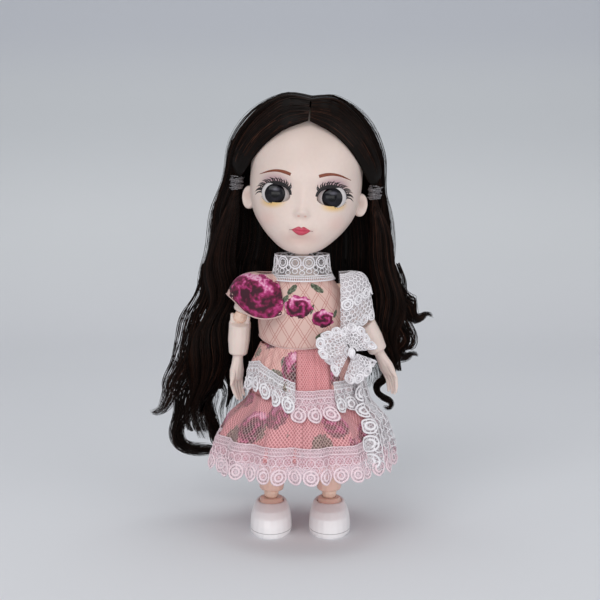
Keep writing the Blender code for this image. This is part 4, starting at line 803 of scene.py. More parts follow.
def hair_finish(name, dark=1.0):
    n = Nodes(name)
    where = n.place()
    tone = n.add("ShaderNodeAttribute", attribute_name="tone").outputs["Fac"]
    grain = n.noise(where, 240, 2)
    share = n.math("ADD", n.math("MULTIPLY", tone, 0.75), n.math("MULTIPLY", grain, 0.25))
    stops = ((0.0, (6, 4, 3)), (0.45, (19, 11, 8)), (0.78, (50, 30, 22)), (1.0, (96, 62, 48)))
    colour = n.ramp(share, [(spot, rgb(*[v * dark for v in tone])) for spot, tone in stops])
    return n.finish(colour, 0.42, Specular_IOR_Level=0.09, Anisotropic=0.5)


HAIR = hair_finish("dark_hair_strands")
# a darker copy of the hair colour for the shells under the strands: painted shade between and below the strands
SHADED_UNDER_HAIR = hair_finish("dark_hair_under", 0.75)


def guide_paths(guides, pick, steps):
    """Paths read between neighbouring guides (guides, points, 3) at pick from 0 to 1."""
    guides = np.asarray(guides, float)
    count, rows = guides.shape[:2]
    flat = guides.reshape(count, rows * 3)
    control = along(flat, pick).reshape(-1, rows, 3)
    t = np.linspace(0, 1, steps) * (rows - 1)
    k = np.minimum(t.astype(int), rows - 2)
    u = (t - k)[None, :, None]
    a, b, c, d = (control[:, np.clip(k + j, 0, rows - 1)] for j in (-1, 0, 1, 2))
    return (2 * b + (c - a) * u + (2 * a - 5 * b + 4 * c - d) * u**2 + (3 * b - a - 3 * c + d) * u**3) / 2


def whole_guides(s):
    """The side guides of one side in the doll's space, from the parting to the tips."""
    head = np.asarray(SIDE_GUIDES, float) * (s if s < 0 else 0.955, 1, 1)
    head[:, 0] += (-0.25 * s, 0.0, -0.5)
    head = from_head(head)
    fall = np.asarray(RIGHT_FALL if s < 0 else LEFT_FALL, float)
    return np.concatenate([head, fall], 1)


def waved(paths, s):
    """Long soft waves in the loose hair, growing down from the neck; the same for strands and what lies under them."""
    z = paths[..., 2]
    grow = smooth((122.0 - z) / 52.0) * smooth((z - 18.0) / 12.0 + 0.4)
    drift = 0.035 * paths[..., 1] + 0.02 * np.abs(paths[..., 0])
    out = paths.copy()
    swing = WAVE_RIGHT if s < 0 else WAVE_LEFT
    out[..., 0] += swing * grow * np.sin(2 * np.pi * z / WAVE_LONG + 0.6 + drift * 6)
    out[..., 1] += 0.45 * swing * grow * np.cos(2 * np.pi * z / WAVE_LONG + 0.6 + drift * 6)
    return out


def clumped(paths, clumps, start, pull, wave, turns):
    """Draws strands together towards the middle of their lock, and waves them, more and more to the tips."""
    count, points = paths.shape[:2]
    t = np.linspace(0, 1, points)[None, :, None]
    grow = smooth((t - start) / (1 - start))
    out = paths.copy()
    for lock in np.unique(clumps):
        members = clumps == lock
        middle = paths[members].mean(0, keepdims=True)
        out[members] += (middle - out[members]) * grow * pull
        phase = 1.0 + RND.uniform(-0.55, 0.55)
        swing = RND.uniform(0.7, 1.2) * wave
        ripple = np.sin(t * turns * 2 * np.pi + phase) * grow
        out[members] += swing * ripple * np.array((1.0, 0.0, 0.0))
        out[members] += swing * 0.6 * np.cos(t * turns * 2 * np.pi + phase) * grow * np.array((0.0, 1.0, 0.0))
    return out


def strand_noise(count, points, size, waves=(1.0, 2.3, 4.1)):
    """Smooth small wanderings, one for each strand."""
    t = np.linspace(0, 1, points)[None, :, None]
    out = np.zeros((count, points, 3))
    for w in waves:
        phase = RND.uniform(0, 6.28, (count, 1, 3))
        out += np.sin(t * w * 2 * np.pi + phase) / w
    return out * size


def taper(count, points, thick, thin, start=0.75):
    t = np.linspace(0, 1, points)
    return (thick + (thin - thick) * smooth((t - start) / (1 - start)))[None, :] * RND.uniform(0.8, 1.2,
                                                                                               (count, 1))


def side_strands(s, count):
    """Loose strands from the parting, over the side of the head and down to the tips."""
    pick = np.sort(RND.uniform(0, 1, count)) ** 0.95
    guides = whole_guides(s)
    steps = 92
    paths = guide_paths(guides, pick, steps)
    t = np.linspace(0, 1, steps)
    centre = from_head([[0, 2, 22]])[0]
    out = paths - centre
    out[..., 2] *= np.linspace(1, 0, steps)[None, :] ** 2
    out /= np.linalg.norm(out, axis=-1, keepdims=True) + 1e-9
    depth = RND.uniform(-1, 0, (count, 1, 1)) * (0.5 + 2.9 * smooth(t / 0.5))[None, :, None]
    stray = RND.uniform(0, 1, count) < 0.07
    away = RND.uniform(0.4, 2.6, (count, 1, 1)) * (smooth(t / 0.3) * (0.4 + 0.6 * np.sin(t * 9) ** 2))[None,
                                                                                                       :, None]
    depth = np.where(stray[:, None, None], away, depth)
    paths = paths + out * depth
    paths[..., 0] += RND.normal(0, 0.4, (count, 1)) * (1 - smooth(t / 0.12))[None, :]
    paths = paths + strand_noise(count, steps, 0.28) * smooth(t / 0.12)[None, :, None]
    locks = np.floor(pick * 22).astype(int) * 2 + (RND.uniform(0, 1, count) > 0.5)
    paths = clumped(paths, locks, 0.30, 0.42, 1.8 if s < 0 else 1.4, 4.3)
    paths = waved(paths, s)
    end = RND.uniform(0.0, 1.0, count) ** 1.6
    stretch = np.linspace(0, 1, steps)[None, :] * (1 - 0.24 * end[:, None])
    index = stretch * (steps - 1)
    k = np.minimum(index.astype(int), steps - 2)
    u = (index - k)[..., None]
    rows = np.arange(count)[:, None]
    paths = paths[rows, k] * (1 - u) + paths[rows, k + 1] * u
    tone = np.clip(RND.normal(0.42, 0.24, count), 0, 1)
    radii = taper(count, steps, 0.125, 0.03) * np.where(stray, 0.5, 1.0)[:, None]
    return paths, radii, tone


def front_strands(s, count):
    """Strands from the hairline and the front of the parting, gathered at the tie and loose below it."""
    pick = np.sort(RND.uniform(0, 1, count))
    head = np.asarray(FRONT_GUIDES, float) * (s, 1, 1)
    upper = guide_paths(head, pick, 30)
    t = np.linspace(0, 1, 30)
    upper += RND.uniform(-1.0, 0, (count, 1, 1)) * 0.8 * (upper - (0, 2, 22)) / 26
    upper += strand_noise(count, 30, 0.14) * (np.sin(t * np.pi) ** 0.5)[None, :, None]
    spread = RND.normal(0, 1, (count, 2))
    spread /= np.maximum(np.linalg.norm(spread, axis=1, keepdims=True), 1)
    tie = np.array(TIE_PLACE) * (s, 1, 1)
    above = np.stack([tie[0] + spread[:, 0] * 1.15, tie[1] + spread[:, 1] * 1.15,
                      np.full(count, tie[2] + 2.4)], -1)
    below = np.stack([tie[0] + spread[:, 0] * 1.15, tie[1] + spread[:, 1] * 1.15,
                      np.full(count, tie[2] - 2.6)], -1)
    upper = from_head(upper)
    rows = np.asarray(RIGHT_LOCK if s < 0 else LEFT_LOCK, float)
    disc = RND.normal(0, 1, (count, 2))
    disc /= np.maximum(np.linalg.norm(disc, axis=1, keepdims=True), 1)
    lower = []
    for x, y, z, half, deep in rows:
        lower.append(np.stack([x + disc[:, 0] * half * 0.9, y + disc[:, 1] * deep * 0.9, np.full(count, z)],
                              -1))
    control = np.stack([upper[:, -8], upper[:, -4], from_head(above), from_head(below)] + lower, 1)
    steps = 74
    knots = control.shape[1]
    q = np.linspace(0, 1, steps) * (knots - 1)
    k = np.minimum(q.astype(int), knots - 2)
    u = (q - k)[None, :, None]
    a, b, c, d = (control[:, np.clip(k + j, 0, knots - 1)] for j in (-1, 0, 1, 2))
    fall = (2 * b + (c - a) * u + (2 * a - 5 * b + 4 * c - d) * u**2 + (3 * b - a - 3 * c + d) * u**3) / 2
    locks = np.floor((np.arctan2(disc[:, 1], disc[:, 0]) + np.pi) / 6.29 * 11).astype(int)
    fall = clumped(fall, locks, 0.35, 0.28, 1.5 if s < 0 else 1.1, 3.0)
    fall += strand_noise(count, steps, 0.20) * smooth(np.linspace(-0.5, 1.2, steps))[None, :, None]
    paths = waved(np.concatenate([upper[:, :-8], fall], 1), s)
    tone = np.clip(RND.normal(0.45, 0.25, count), 0, 1)
    return paths, taper(count, paths.shape[1], 0.12, 0.03), tone


def cut_paths(paths, radii, tone, z):
    """Splits strands at a height: the part above it and the part below it, each with even steps."""
    halves = []
    for upper in (True, False):
        new, size, keep = [], [], []
        for p, r, q in zip(paths, radii, tone):
            low = int(np.argmax(p[:, 2] < z)) if (p[:, 2] < z).any() else len(p) - 1
            part = slice(0, low + 1) if upper else slice(low, len(p))
            line, thick = p[part], r[part]
            if len(line) < 3:
                continue
            steps = 28 if upper else 27
            at = np.linspace(0, len(line) - 1, steps)
            k = np.minimum(at.astype(int), len(line) - 2)
            u = (at - k)[:, None]
            new.append(line[k] * (1 - u) + line[k + 1] * u)
            size.append(thick[k] * (1 - u[:, 0]) + thick[k + 1] * u[:, 0])
            keep.append(q)
        halves.append((np.array(new), np.array(size), np.array(keep)))
    return halves


def strand_piece(name, paths, radii, tone, finish, node=()):
    verts, faces = tubes(paths, radii)
    return build(name, verts, faces, finish, None, node, slot="hair",
                 tone=np.repeat(tone, paths.shape[1] * 3))


def neck_to_head(obj):
    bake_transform(obj)


def torso_to_neck(obj):
    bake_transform(obj)


def hair_shell(name, grid, wall, node, flip, bend):
    verts, faces = thick_sheet(grid, wall, flip=flip)
    shell = build(name, verts, faces, SHADED_UNDER_HAIR, None, node, slot="hair", tone=np.full(len(verts), 0.3))
    bend(shell)


def hair():
    for side, s in SIDES.items():
        guides = whole_guides(s)
        pick = np.linspace(0, 1, 44)
        grid = guide_paths(guides, pick, 96)
        centre = from_head([[0, 2, 22]])[0]
        inward = centre - grid
        inward[..., 2] *= np.linspace(1, 0, 96)[None, :] ** 2
        inward /= np.linalg.norm(inward, axis=-1, keepdims=True) + 1e-9
        ripple = 0.35 * np.sin(np.linspace(0, 1, 44) * 2 * np.pi * 9)[:, None, None]
        grid = grid + inward * (0.9 + ripple + 1.2 * smooth(np.linspace(0, 2, 96))[None, :, None])
        grid = waved(grid, s)
        cut = int(np.argmax(grid[22, :, 2] < SPLIT_Z)) + 1
        hair_shell(f"hair_under_crown_{side}", grid[:, :cut], 0.9, (), s > 0, neck_to_head)
        below = grid[:, cut - 1:]
        ends = (below.shape[1] - 1) * (0.72 + 0.10 * np.sin(np.arange(44) * 1.7) + 0.06 * np.sin(np.arange(44) * 0.6))
        at = np.linspace(0, 1, below.shape[1])[None, :] * ends[:, None]
        k = np.minimum(at.astype(int), below.shape[1] - 2)
        u = (at - k)[..., None]
        rows = np.arange(44)[:, None]
        below = below[rows, k] * (1 - u) + below[rows, k + 1] * u
        hair_shell(f"hair_under_fall_{side}", below, 0.9, (), s > 0, torso_to_neck)
        front = np.asarray(FRONT_GUIDES, float) * (s, 1, 1)
        grid = guide_paths(front, np.linspace(0, 1, 20), 40)
        grid = grid - (grid - (0, 2, 22)) / 26 * 0.55
        hair_shell(f"hair_under_front_{side}", from_head(grid), 0.5, (), s > 0, neck_to_head)
        paths, radii, tone = side_strands(s, 1150)
        more = front_strands(s, 420)
        upper, lower = cut_paths(paths, radii, tone, SPLIT_Z)
        up2, low2 = cut_paths(*more, SPLIT_Z)
        crown = strand_piece(f"hair_strands_crown_{side}", *upper, HAIR, ("hair_crown_" + side, "wig_cap"))
        neck_to_head(crown)
        swept = strand_piece(f"hair_strands_front_{side}", *up2, HAIR)
        neck_to_head(swept)
        fall = strand_piece(f"hair_strands_fall_{side}", *lower, HAIR, ("side_hair_" + side, "back_hair"))
        torso_to_neck(fall)
        lock = strand_piece(f"hair_strands_lock_{side}", *low2, HAIR)
        torso_to_neck(lock)


def loose_lock(rows, count, s_name, wave=1.3, turns=2.4):
    """A separate curl: rows are X, Y, Z, half width and half depth."""
    rows = np.asarray(rows, float)
    disc = RND.normal(0, 0.8, (count, 2))
    disc /= np.maximum(np.linalg.norm(disc, axis=1, keepdims=True), 1.5) / 1.25
    t = np.linspace(0, 1, 40)
    line = along(rows, t)
    run = np.gradient(line[:, :3], axis=0)
    run /= np.linalg.norm(run, axis=1, keepdims=True)
    side = np.cross(run, (0, 1, 0))
    side /= np.linalg.norm(side, axis=1, keepdims=True) + 1e-9
    deep = np.cross(side, run)
    paths = line[None, :, :3] + side[None] * (disc[:, :1, None] * line[None, :,
                                                                       3:4]) + deep[None] * (disc[:, 1:,
                                                                                                  None] * line[None, :, 4:5])
    phase = RND.uniform(0, 6.28, (count, 1))
    grow = smooth(t / 0.3)[None, :]
    paths += side[None] * (np.sin(t[None] * turns * 6.28 + 1.0 + 0.5 * np.sin(phase)) * wave * grow)[...,
                                                                                                     None]
    paths += strand_noise(count, 40, 0.34) * grow[..., None]
    ends = 1 - 0.22 * RND.uniform(0, 1, count) ** 1.5
    at = t[None, :] * ends[:, None] * 39
    k = np.minimum(at.astype(int), 38)
    u = (at - k)[..., None]
    row = np.arange(count)[:, None]
    paths = paths[row, k] * (1 - u) + paths[row, k + 1] * u
    radii = taper(count, 40, 0.11, 0.03, 0.6)
    tone = np.clip(RND.normal(0.45, 0.25, count), 0, 1)
    piece = strand_piece(s_name, paths, radii, tone, HAIR)
    torso_to_neck(piece)


CURLS = {
    "hair_curl_upper": ((-34.0, 13.0, 98.0, 3.2, 2.2), (-36.6, 14.0, 86.0, 3.8, 2.6),
                        (-40.4, 14.0, 75.0, 4.4, 2.8), (-45.0, 13.0, 65.0, 4.2, 2.8), (-47.6, 12.6, 56.0,
                                                                                       3.6, 2.4),
                        (-49.8, 12.0, 49.0, 2.6, 2.0), (-54.4, 11.6, 44.0, 1.6, 1.2), (-57.6, 11.2, 41.0,
                                                                                       0.4, 0.4)),
    "hair_curl_lower": ((-36.0, 15.4, 70.0, 4.0, 2.6), (-38.6, 16.0, 60.0, 4.4, 2.8),
                        (-42.4, 16.6, 50.0, 4.2, 2.8), (-46.4, 16.6, 42.0, 3.4, 2.4), (-49.4, 16.6, 35.0,
                                                                                       2.2, 1.8),
                        (-46.8, 17.0, 29.0, 2.0, 1.6), (-40.0, 18.0, 25.4, 1.7, 1.4), (-32.4, 19.0, 23.0,
                                                                                       1.0, 0.9), (-27.0,
                                                                                                   19.6, 17.6, 0.4, 0.4)),
    "hair_curl_inner": ((-33.0, 15.0, 62.0, 2.4, 1.8), (-35.4, 15.4, 50.0, 2.2, 1.7),
                        (-36.6, 15.6, 40.0, 1.8, 1.4), (-33.0, 16.0, 31.0, 1.4, 1.2),
                        (-29.4, 16.4, 24.0, 0.9, 0.8), (-28.0, 16.6, 15.0, 0.3, 0.3)),
    "hair_curl_left": ((33.0, 12.6, 76.0, 2.2, 1.8), (34.0, 13.0, 66.0, 1.8, 1.5),
                       (31.6, 13.6, 57.0, 1.3, 1.1), (29.6, 14.0, 51.0, 0.9, 0.8),
                       (33.6, 14.2, 45.0, 0.6, 0.5), (32.2, 14.2, 42.6, 0.2, 0.2)),
    "hair_wisp_left": ((33.0, 12.6, 98.0, 3.4, 2.4), (35.8, 12.8, 89.0, 3.8, 2.6),
                       (39.0, 12.8, 83.0, 3.2, 2.2), (42.8, 12.8, 79.6, 1.9, 1.5), (46.4, 12.6, 78.2, 0.9,
                                                                                    0.8), (49.6, 12.4, 79.4,
                                                                                           0.2, 0.2)),
    "hair_flick_left": ((33.4, 13.0, 90.0, 4.0, 2.6), (36.4, 13.4, 80.0, 4.4, 2.8),
                        (38.8, 13.6, 71.0, 3.6, 2.4), (37.8, 13.8, 65.6, 2.2, 1.8), (41.0, 13.8, 62.6, 1.0,
                                                                                     0.9), (44.4, 13.6,
                                                                                            64.0, 0.2, 0.2)),
}


def elastic_finish():
    n = Nodes("clear_elastic")
    where = n.place()
    colour = n.mix(n.noise(where, 900, 3), rgb(150, 145, 148), rgb(206, 201, 204))
    n.shader.inputs["Transmission Weight"].default_value = 0.75
    return n.finish(colour, 0.08, IOR=1.45, Specular_IOR_Level=0.6)


def ties():
    finish = elastic_finish()
    for side, s in SIDES.items():
        paths = []
        for strand in range(3):
            turns = 5
            t = np.linspace(0, 1, 44 * turns)
            angle = 2 * np.pi * turns * t + strand * 2.1
            radius = 1.95 + 0.28 * np.sin(angle * 1.37 + strand) + 0.22 * strand
            rise = -2.2 + 4.4 * t + 0.55 * np.sin(angle * 0.71 + strand * 2)
            x = s * TIE_PLACE[0] + radius * np.cos(angle)
            y = TIE_PLACE[1] + radius * np.sin(angle)
            paths.append(np.stack([x, y, TIE_PLACE[2] + rise], -1))
        verts, faces = tubes(from_head(np.array(paths)), 0.25, sides=8, deep=(0, 0, 1))
        build(f"elastic_{side}", verts, faces, finish, "head", "hair_tie_" + side, slot="hair_elastic")


hair()
for curl_name, curl_rows in CURLS.items():
    loose_lock(curl_rows, 170, curl_name)
ties()


# Dress. Every cloth is a grid of points, so that lace can be laid on it in millimetres.

BODICE_ROWS = ((70.8, 15.8, -12.6, 11.0), (74.5, 16.1, -12.7, 10.9), (80.0, 16.3, -12.5, 10.7),
               (86.0, 15.5, -11.9, 10.1), (90.5, 14.3, -10.5, 9.3), (93.2, 12.5, -9.9, 8.7), (95.4, 11.3,
                                                                                              -9.7, 8.7))
COLLAR_ROWS = ((103.8, 9.9, -9.3, 9.3), (100.5, 10.1, -9.3, 9.1), (97.0, 10.8, -9.7, 9.3),
               (94.4, 12.2, -11.0, 9.9))
LINING_ROWS = ((71.0, 14.2, -11.2, 9.8), (63.0, 17.0, -15.1, 13.9), (53.0, 17.8, -20.5, 19.2),
               (49.0, 19.0, -22.8, 21.2), (43.0, 25.8, -26.4, 24.2), (34.0, 30.0, -29.6, 26.6), (25.0, 31.6,
                                                                                                 -31.0, 28.0))
FLOUNCE = (((4.2, 97.2), (8.0, 96.6), (11.2, 94.8), (13.2, 92.0), (14.6, 88.8)),
           ((4.2, 96.8), (8.4, 94.5), (11.2, 90.5), (13.0, 85.8), (14.4, 81.2)))
LACE_SLEEVE = (((4.2, 97.2), (8.0, 96.4), (10.2, 92.5), (11.4, 86.5), (12.2, 79.5)),
               ((4.2, 96.6), (8.0, 93.6), (9.8, 88.4), (10.4, 81.5), (10.8, 74.5)))
CASCADE_ROWS = ((69.0, 2.8, 0.20), (60.0, 4.4, 0.45), (50.0, 5.8, 0.70), (40.0, 4.0, 0.90),
                (33.0, 2.9, 1.00), (27.2, 2.7, 1.00))
BOW_CENTRE = (17.6, -19.6, 70.4)


class Surface:
    """A cloth read from a grid of points, addressed in millimetres along it and down it."""

    def __init__(self, grid, core=None):
        self.grid = np.asarray(grid, float)
        steps = np.linalg.norm(np.diff(self.grid, axis=1), axis=-1).mean(0)
        drops = np.linalg.norm(np.diff(self.grid, axis=0), axis=-1).mean(1)
        self.along = np.concatenate([[0.0], np.cumsum(steps)])
        self.down = np.concatenate([[0.0], np.cumsum(drops)])
        self.length = self.along[-1]
        self.width = self.down[-1]
        normal = np.cross(np.gradient(self.grid, axis=1), np.gradient(self.grid, axis=0))
        size = np.linalg.norm(normal, axis=-1, keepdims=True)
        away = self.grid - self.grid.mean((0, 1)) * (1, 1, 0) - (0, 0,
                                                                 self.grid[...,
                                                                           2].mean()) if core is None else self.grid - core
        sign = 1.0 if (normal * away * (1, 1, 0)).sum() > 0 else -1.0
        self.flip = sign < 0
        self.normal = sign * normal / np.maximum(size, 1e-9)

    def at(self, u, v):
        rows, columns = self.grid.shape[:2]
        c = np.interp(u, self.along, np.arange(columns))
        r = np.interp(v, self.down, np.arange(rows))
        i = np.minimum(r.astype(int), rows - 2)
        j = np.minimum(c.astype(int), columns - 2)
        a, b = (r - i)[..., None], (c - j)[..., None]

        def read(field):
            top = field[i, j] * (1 - b) + field[i, j + 1] * b
            low = field[i + 1, j] * (1 - b) + field[i + 1, j + 1] * b
            return top * (1 - a) + low * a
        return read(self.grid), read(self.normal)

    def sheet(self, name, finish, wall=0.12, bottom=None, columns=None, **more):
        """The cloth itself as a thin closed sheet; bottom(u) trims its lower edge."""
        rows = self.grid.shape[0] if bottom is None else 8
        count = columns or self.grid.shape[1]
        u = np.linspace(0, self.length, count)
        edge = np.full(count, self.width) if bottom is None else bottom(u)
        v = np.linspace(0, 1, rows)[:, None] * edge[None, :]
        if bottom is None:
            v = np.broadcast_to(self.down[:, None], (rows, count))
        outer, normal = self.at(np.broadcast_to(u, v.shape), v)
        inner = outer - normal * wall
        n = rows * count
        verts = np.concatenate([outer.reshape(-1, 3), inner.reshape(-1, 3)])
        faces = [grid_faces(rows, count, False, 0, False), grid_faces(rows, count, False, n, True)]
        c = np.arange(count - 1)
        faces.append(np.stack([c, c + n, c + n + 1, c + 1], -1))
        low = (rows - 1) * count + c
        faces.append(np.stack([low, low + 1, low + 1 + n, low + n], -1))
        r = np.arange(rows - 1) * count
        faces.append(np.stack([r, r + count, r + count + n, r + n], -1))
        r = r + count - 1
        faces.append(np.stack([r, r + n, r + count + n, r + count], -1))
        flat = np.stack([np.broadcast_to(u, v.shape), self.width - v], -1).reshape(-1, 2)
        faces = np.concatenate(faces)
        if self.flip:
            faces = faces[:, ::-1]
        return build(name, verts, faces, finish, None, uv=np.concatenate([flat, flat]), **more)


def laid(surface, groups, lift=0.15):
    """Threads laid on a cloth: each group is paths (count, points, 2), half width, thickness, and whether they close."""
    parts = []
    for paths, half, thick, closed in groups:
        paths = np.asarray(paths, float)
        count, points = paths.shape[:2]
        if closed:
            run = np.roll(paths, -1, 1) - np.roll(paths, 1, 1)
        else:
            run = np.gradient(paths, axis=1)
        run /= np.linalg.norm(run, axis=-1, keepdims=True) + 1e-9
        across = np.stack([-run[..., 1], run[..., 0]], -1)
        corners = []
        for side, rise in ((1, 0), (0, 1), (-1, 0), (0, -1)):
            spot = paths + across * side * half
            point, normal = surface.at(spot[..., 0], spot[..., 1])
            corners.append(point + normal * (lift + rise * thick))
        verts = np.stack(corners, 2)
        s = np.arange(count)[:, None, None] * points * 4
        p = np.arange(points if closed else points - 1)[None, :, None]
        q = (p + 1) % points
        k = np.arange(4)[None, None, :]
        j = (k + 1) % 4
        faces = np.stack([s + p * 4 + k, s + p * 4 + j, s + q * 4 + j, s + q * 4 + k], -1).reshape(-1, 4)
        if not closed:
            s = np.arange(count)[:, None] * points * 4
            first = s + np.array([3, 2, 1, 0])
            last = s + (points - 1) * 4 + np.array([0, 1, 2, 3])
            faces = np.concatenate([faces, first, last])
        parts.append((verts.reshape(-1, 3), faces))
    return merged(parts)


def rings(centres, wide, high, count=14):
    turn = 2 * np.pi * np.arange(count) / count
    loop = np.stack([wide * np.cos(turn), high * np.sin(turn)], -1)
    return np.asarray(centres, float)[:, None, :] + loop


def lace(length, width, pitch, head=0.24):
    """The pattern of a scalloped lace edging: a net band, a field of linked eyelets and a row of medallions."""
    count = max(2, int(round(length / pitch)))
    p = length / count
    radius = 0.48 * p
    base = width - radius
    middle = (np.arange(count) + 0.5) * p
    groups = []
    spots = np.stack([middle, np.full(count, base)], -1)
    groups.append((rings(spots, radius * 0.88, radius * 0.88, 18), 0.40, 0.26, True))
    groups.append((rings(spots, radius * 0.46, radius * 0.46, 14), 0.17 * radius, 0.20, True))
    spoke = 2 * np.pi * np.arange(9) / 9
    ends = np.stack([np.cos(spoke), np.sin(spoke)], -1)
    paths = spots[:, None, None, :] + ends[None, :, None, :] * np.array([0.62, 0.84])[None, None, :,
                                                                                      None] * radius
    groups.append((paths.reshape(-1, 2, 2), 0.13, 0.10, False))
    top = head * width
    row = base - radius * 0.86
    step = p / 2
    small = 0.27 * p
    k = 0
    while row > top + small * 0.4:
        shift = 0.5 * step if k % 2 else 0.0
        along_row = np.arange(0.25 * p + shift, length - 0.2 * p, step)
        high = min(small, max(0.7 * small, (row - top)))
        centres = np.stack([along_row, np.full(len(along_row), row)], -1)
        groups.append((rings(centres, small * 0.95, high * 0.88, 10), 0.17, 0.17, True))
        row -= small * 1.56
        k += 1
    steps = int(length / 1.1)
    for slope in (1, -1):
        start = np.linspace(0.3, length - 0.3, steps)
        end = np.clip(start + slope * top * 0.8, 0.1, length - 0.1)
        paths = np.stack([np.stack([start, np.full(steps, 0.15)], -1),
                          np.stack([end, np.full(steps, top)], -1)], 1)
        groups.append((paths, 0.09, 0.08, False))
    fine = max(24, count * 8)
    u = np.linspace(0.05, length - 0.05, fine)
    edge = np.stack([u, 0.25 + 0.18 * np.cos(u * 2 * np.pi / pitch * 2)], -1)[None]
    lower = np.stack([u, np.full(fine, top) + 0.12 * np.cos(u * 2 * np.pi / pitch * 4)], -1)[None]
    inner = np.stack([u, np.full(fine, top * 0.55)], -1)[None]
    groups += [(edge, 0.22, 0.2, False), (lower, 0.24, 0.2, False), (inner, 0.12, 0.12, False)]
    return groups


def scallop_edge(length, width, pitch, inset=0.3):
    count = max(2, int(round(length / pitch)))
    p = length / count
    radius = 0.48 * p

    def bottom(u):
        off = (u / p - np.floor(u / p) - 0.5) * p
        drop = np.sqrt(np.maximum(radius**2 - off**2, (0.3 * radius) ** 2))
        return width - radius + drop - inset
    return bottom


def cloth_stage(name):
    n = Nodes(name)
    uv = n.add("ShaderNodeUVMap", uv_map="cloth").outputs[0]
    return n, uv


def voronoi(n, where, scale, feature="F1", spread=1.0):
    node = n.add("ShaderNodeTexVoronoi", feature=feature)
    n.wire(node.inputs["Vector"], where)
    node.inputs["Scale"].default_value = scale
    node.inputs["Randomness"].default_value = spread
    return node


def lattice(n, uv, pitch=4.3, angle=57, half=0.026):
    """Pairs of thin crossing lines, 1 on the lines."""
    x, y = split(n, uv)[:2]
    wander = n.math("MULTIPLY", n.math("SUBTRACT", n.noise(uv, 0.35, 1), 0.5), 0.5)
    total = None
    for sign in (1, -1):
        c, s = np.cos(np.radians(angle)), sign * np.sin(np.radians(angle))
        t = n.math("ADD", n.math("MULTIPLY", x, s), n.math("MULTIPLY", y, c))
        t = n.math("DIVIDE", n.math("ADD", t, wander), pitch)
        for shift in (0.0, 0.2):
            part = n.math("FRACT", n.math("ADD", t, shift + 100))
            near = n.math("ABSOLUTE", n.math("SUBTRACT", part, 0.5))
            line = n.math("LESS_THAN", near, half)
            total = line if total is None else n.math("MAXIMUM", total, line)
    return total


def spot_on(n, uv, centre, reach, turn=0.0):
    """Size from 0 to 1 inside an ellipse on the cloth, with the two shares along its axes."""
    x, y = split(n, n.vector("SUBTRACT", uv, (centre[0], centre[1], 0.0)))[:2]
    c, s = np.cos(np.radians(turn)), np.sin(np.radians(turn))
    a = n.math("DIVIDE", n.math("ADD", n.math("MULTIPLY", x, c), n.math("MULTIPLY", y, s)), reach[0])
    b = n.math("DIVIDE", n.math("SUBTRACT", n.math("MULTIPLY", y, c), n.math("MULTIPLY", x, s)), reach[1])
    size = n.math("SQRT", n.math("ADD", n.math("MULTIPLY", a, a), n.math("MULTIPLY", b, b)))
    return size, a, b


def rose_paint(n, uv, size, a, b, seed):
    """A painted rose: curled petals, pale above and wine-dark below."""
    turn = n.math("ARCTAN2", b, a)
    place = n.vector("ADD", uv, (seed, 3 * seed, 0.0))
    wander = n.noise(place, 0.34, 1)
    petals = n.math("SINE", n.math("ADD", n.math("MULTIPLY", size, 9.0),
                                   n.math("ADD", n.math("MULTIPLY", turn, 2.0),
                                          n.math("MULTIPLY", wander, 9.0))))
    petals = n.math("ADD", n.math("MULTIPLY", petals, 0.5), 0.5)
    strokes = n.noise(place, 1.1, 2)
    tone = n.math("ADD", n.math("MULTIPLY", petals, 0.34), n.math("MULTIPLY", strokes, 0.42))
    tone = n.math("ADD", tone, n.math("MULTIPLY", b, 0.20))
    heart = n.math("MULTIPLY", n.math("SUBTRACT", 1.0,
                                      n.math("MINIMUM", n.math("MULTIPLY", size, 1.7), 1.0)), 0.22)
    tone = n.math("SUBTRACT", tone, heart)
    return n.ramp(tone, [(0.16, rgb(58, 8, 30)), (0.32, rgb(112, 18, 60)), (0.45, rgb(164, 42, 104)),
                         (0.56, rgb(204, 98, 150)), (0.70, rgb(236, 180, 206))])


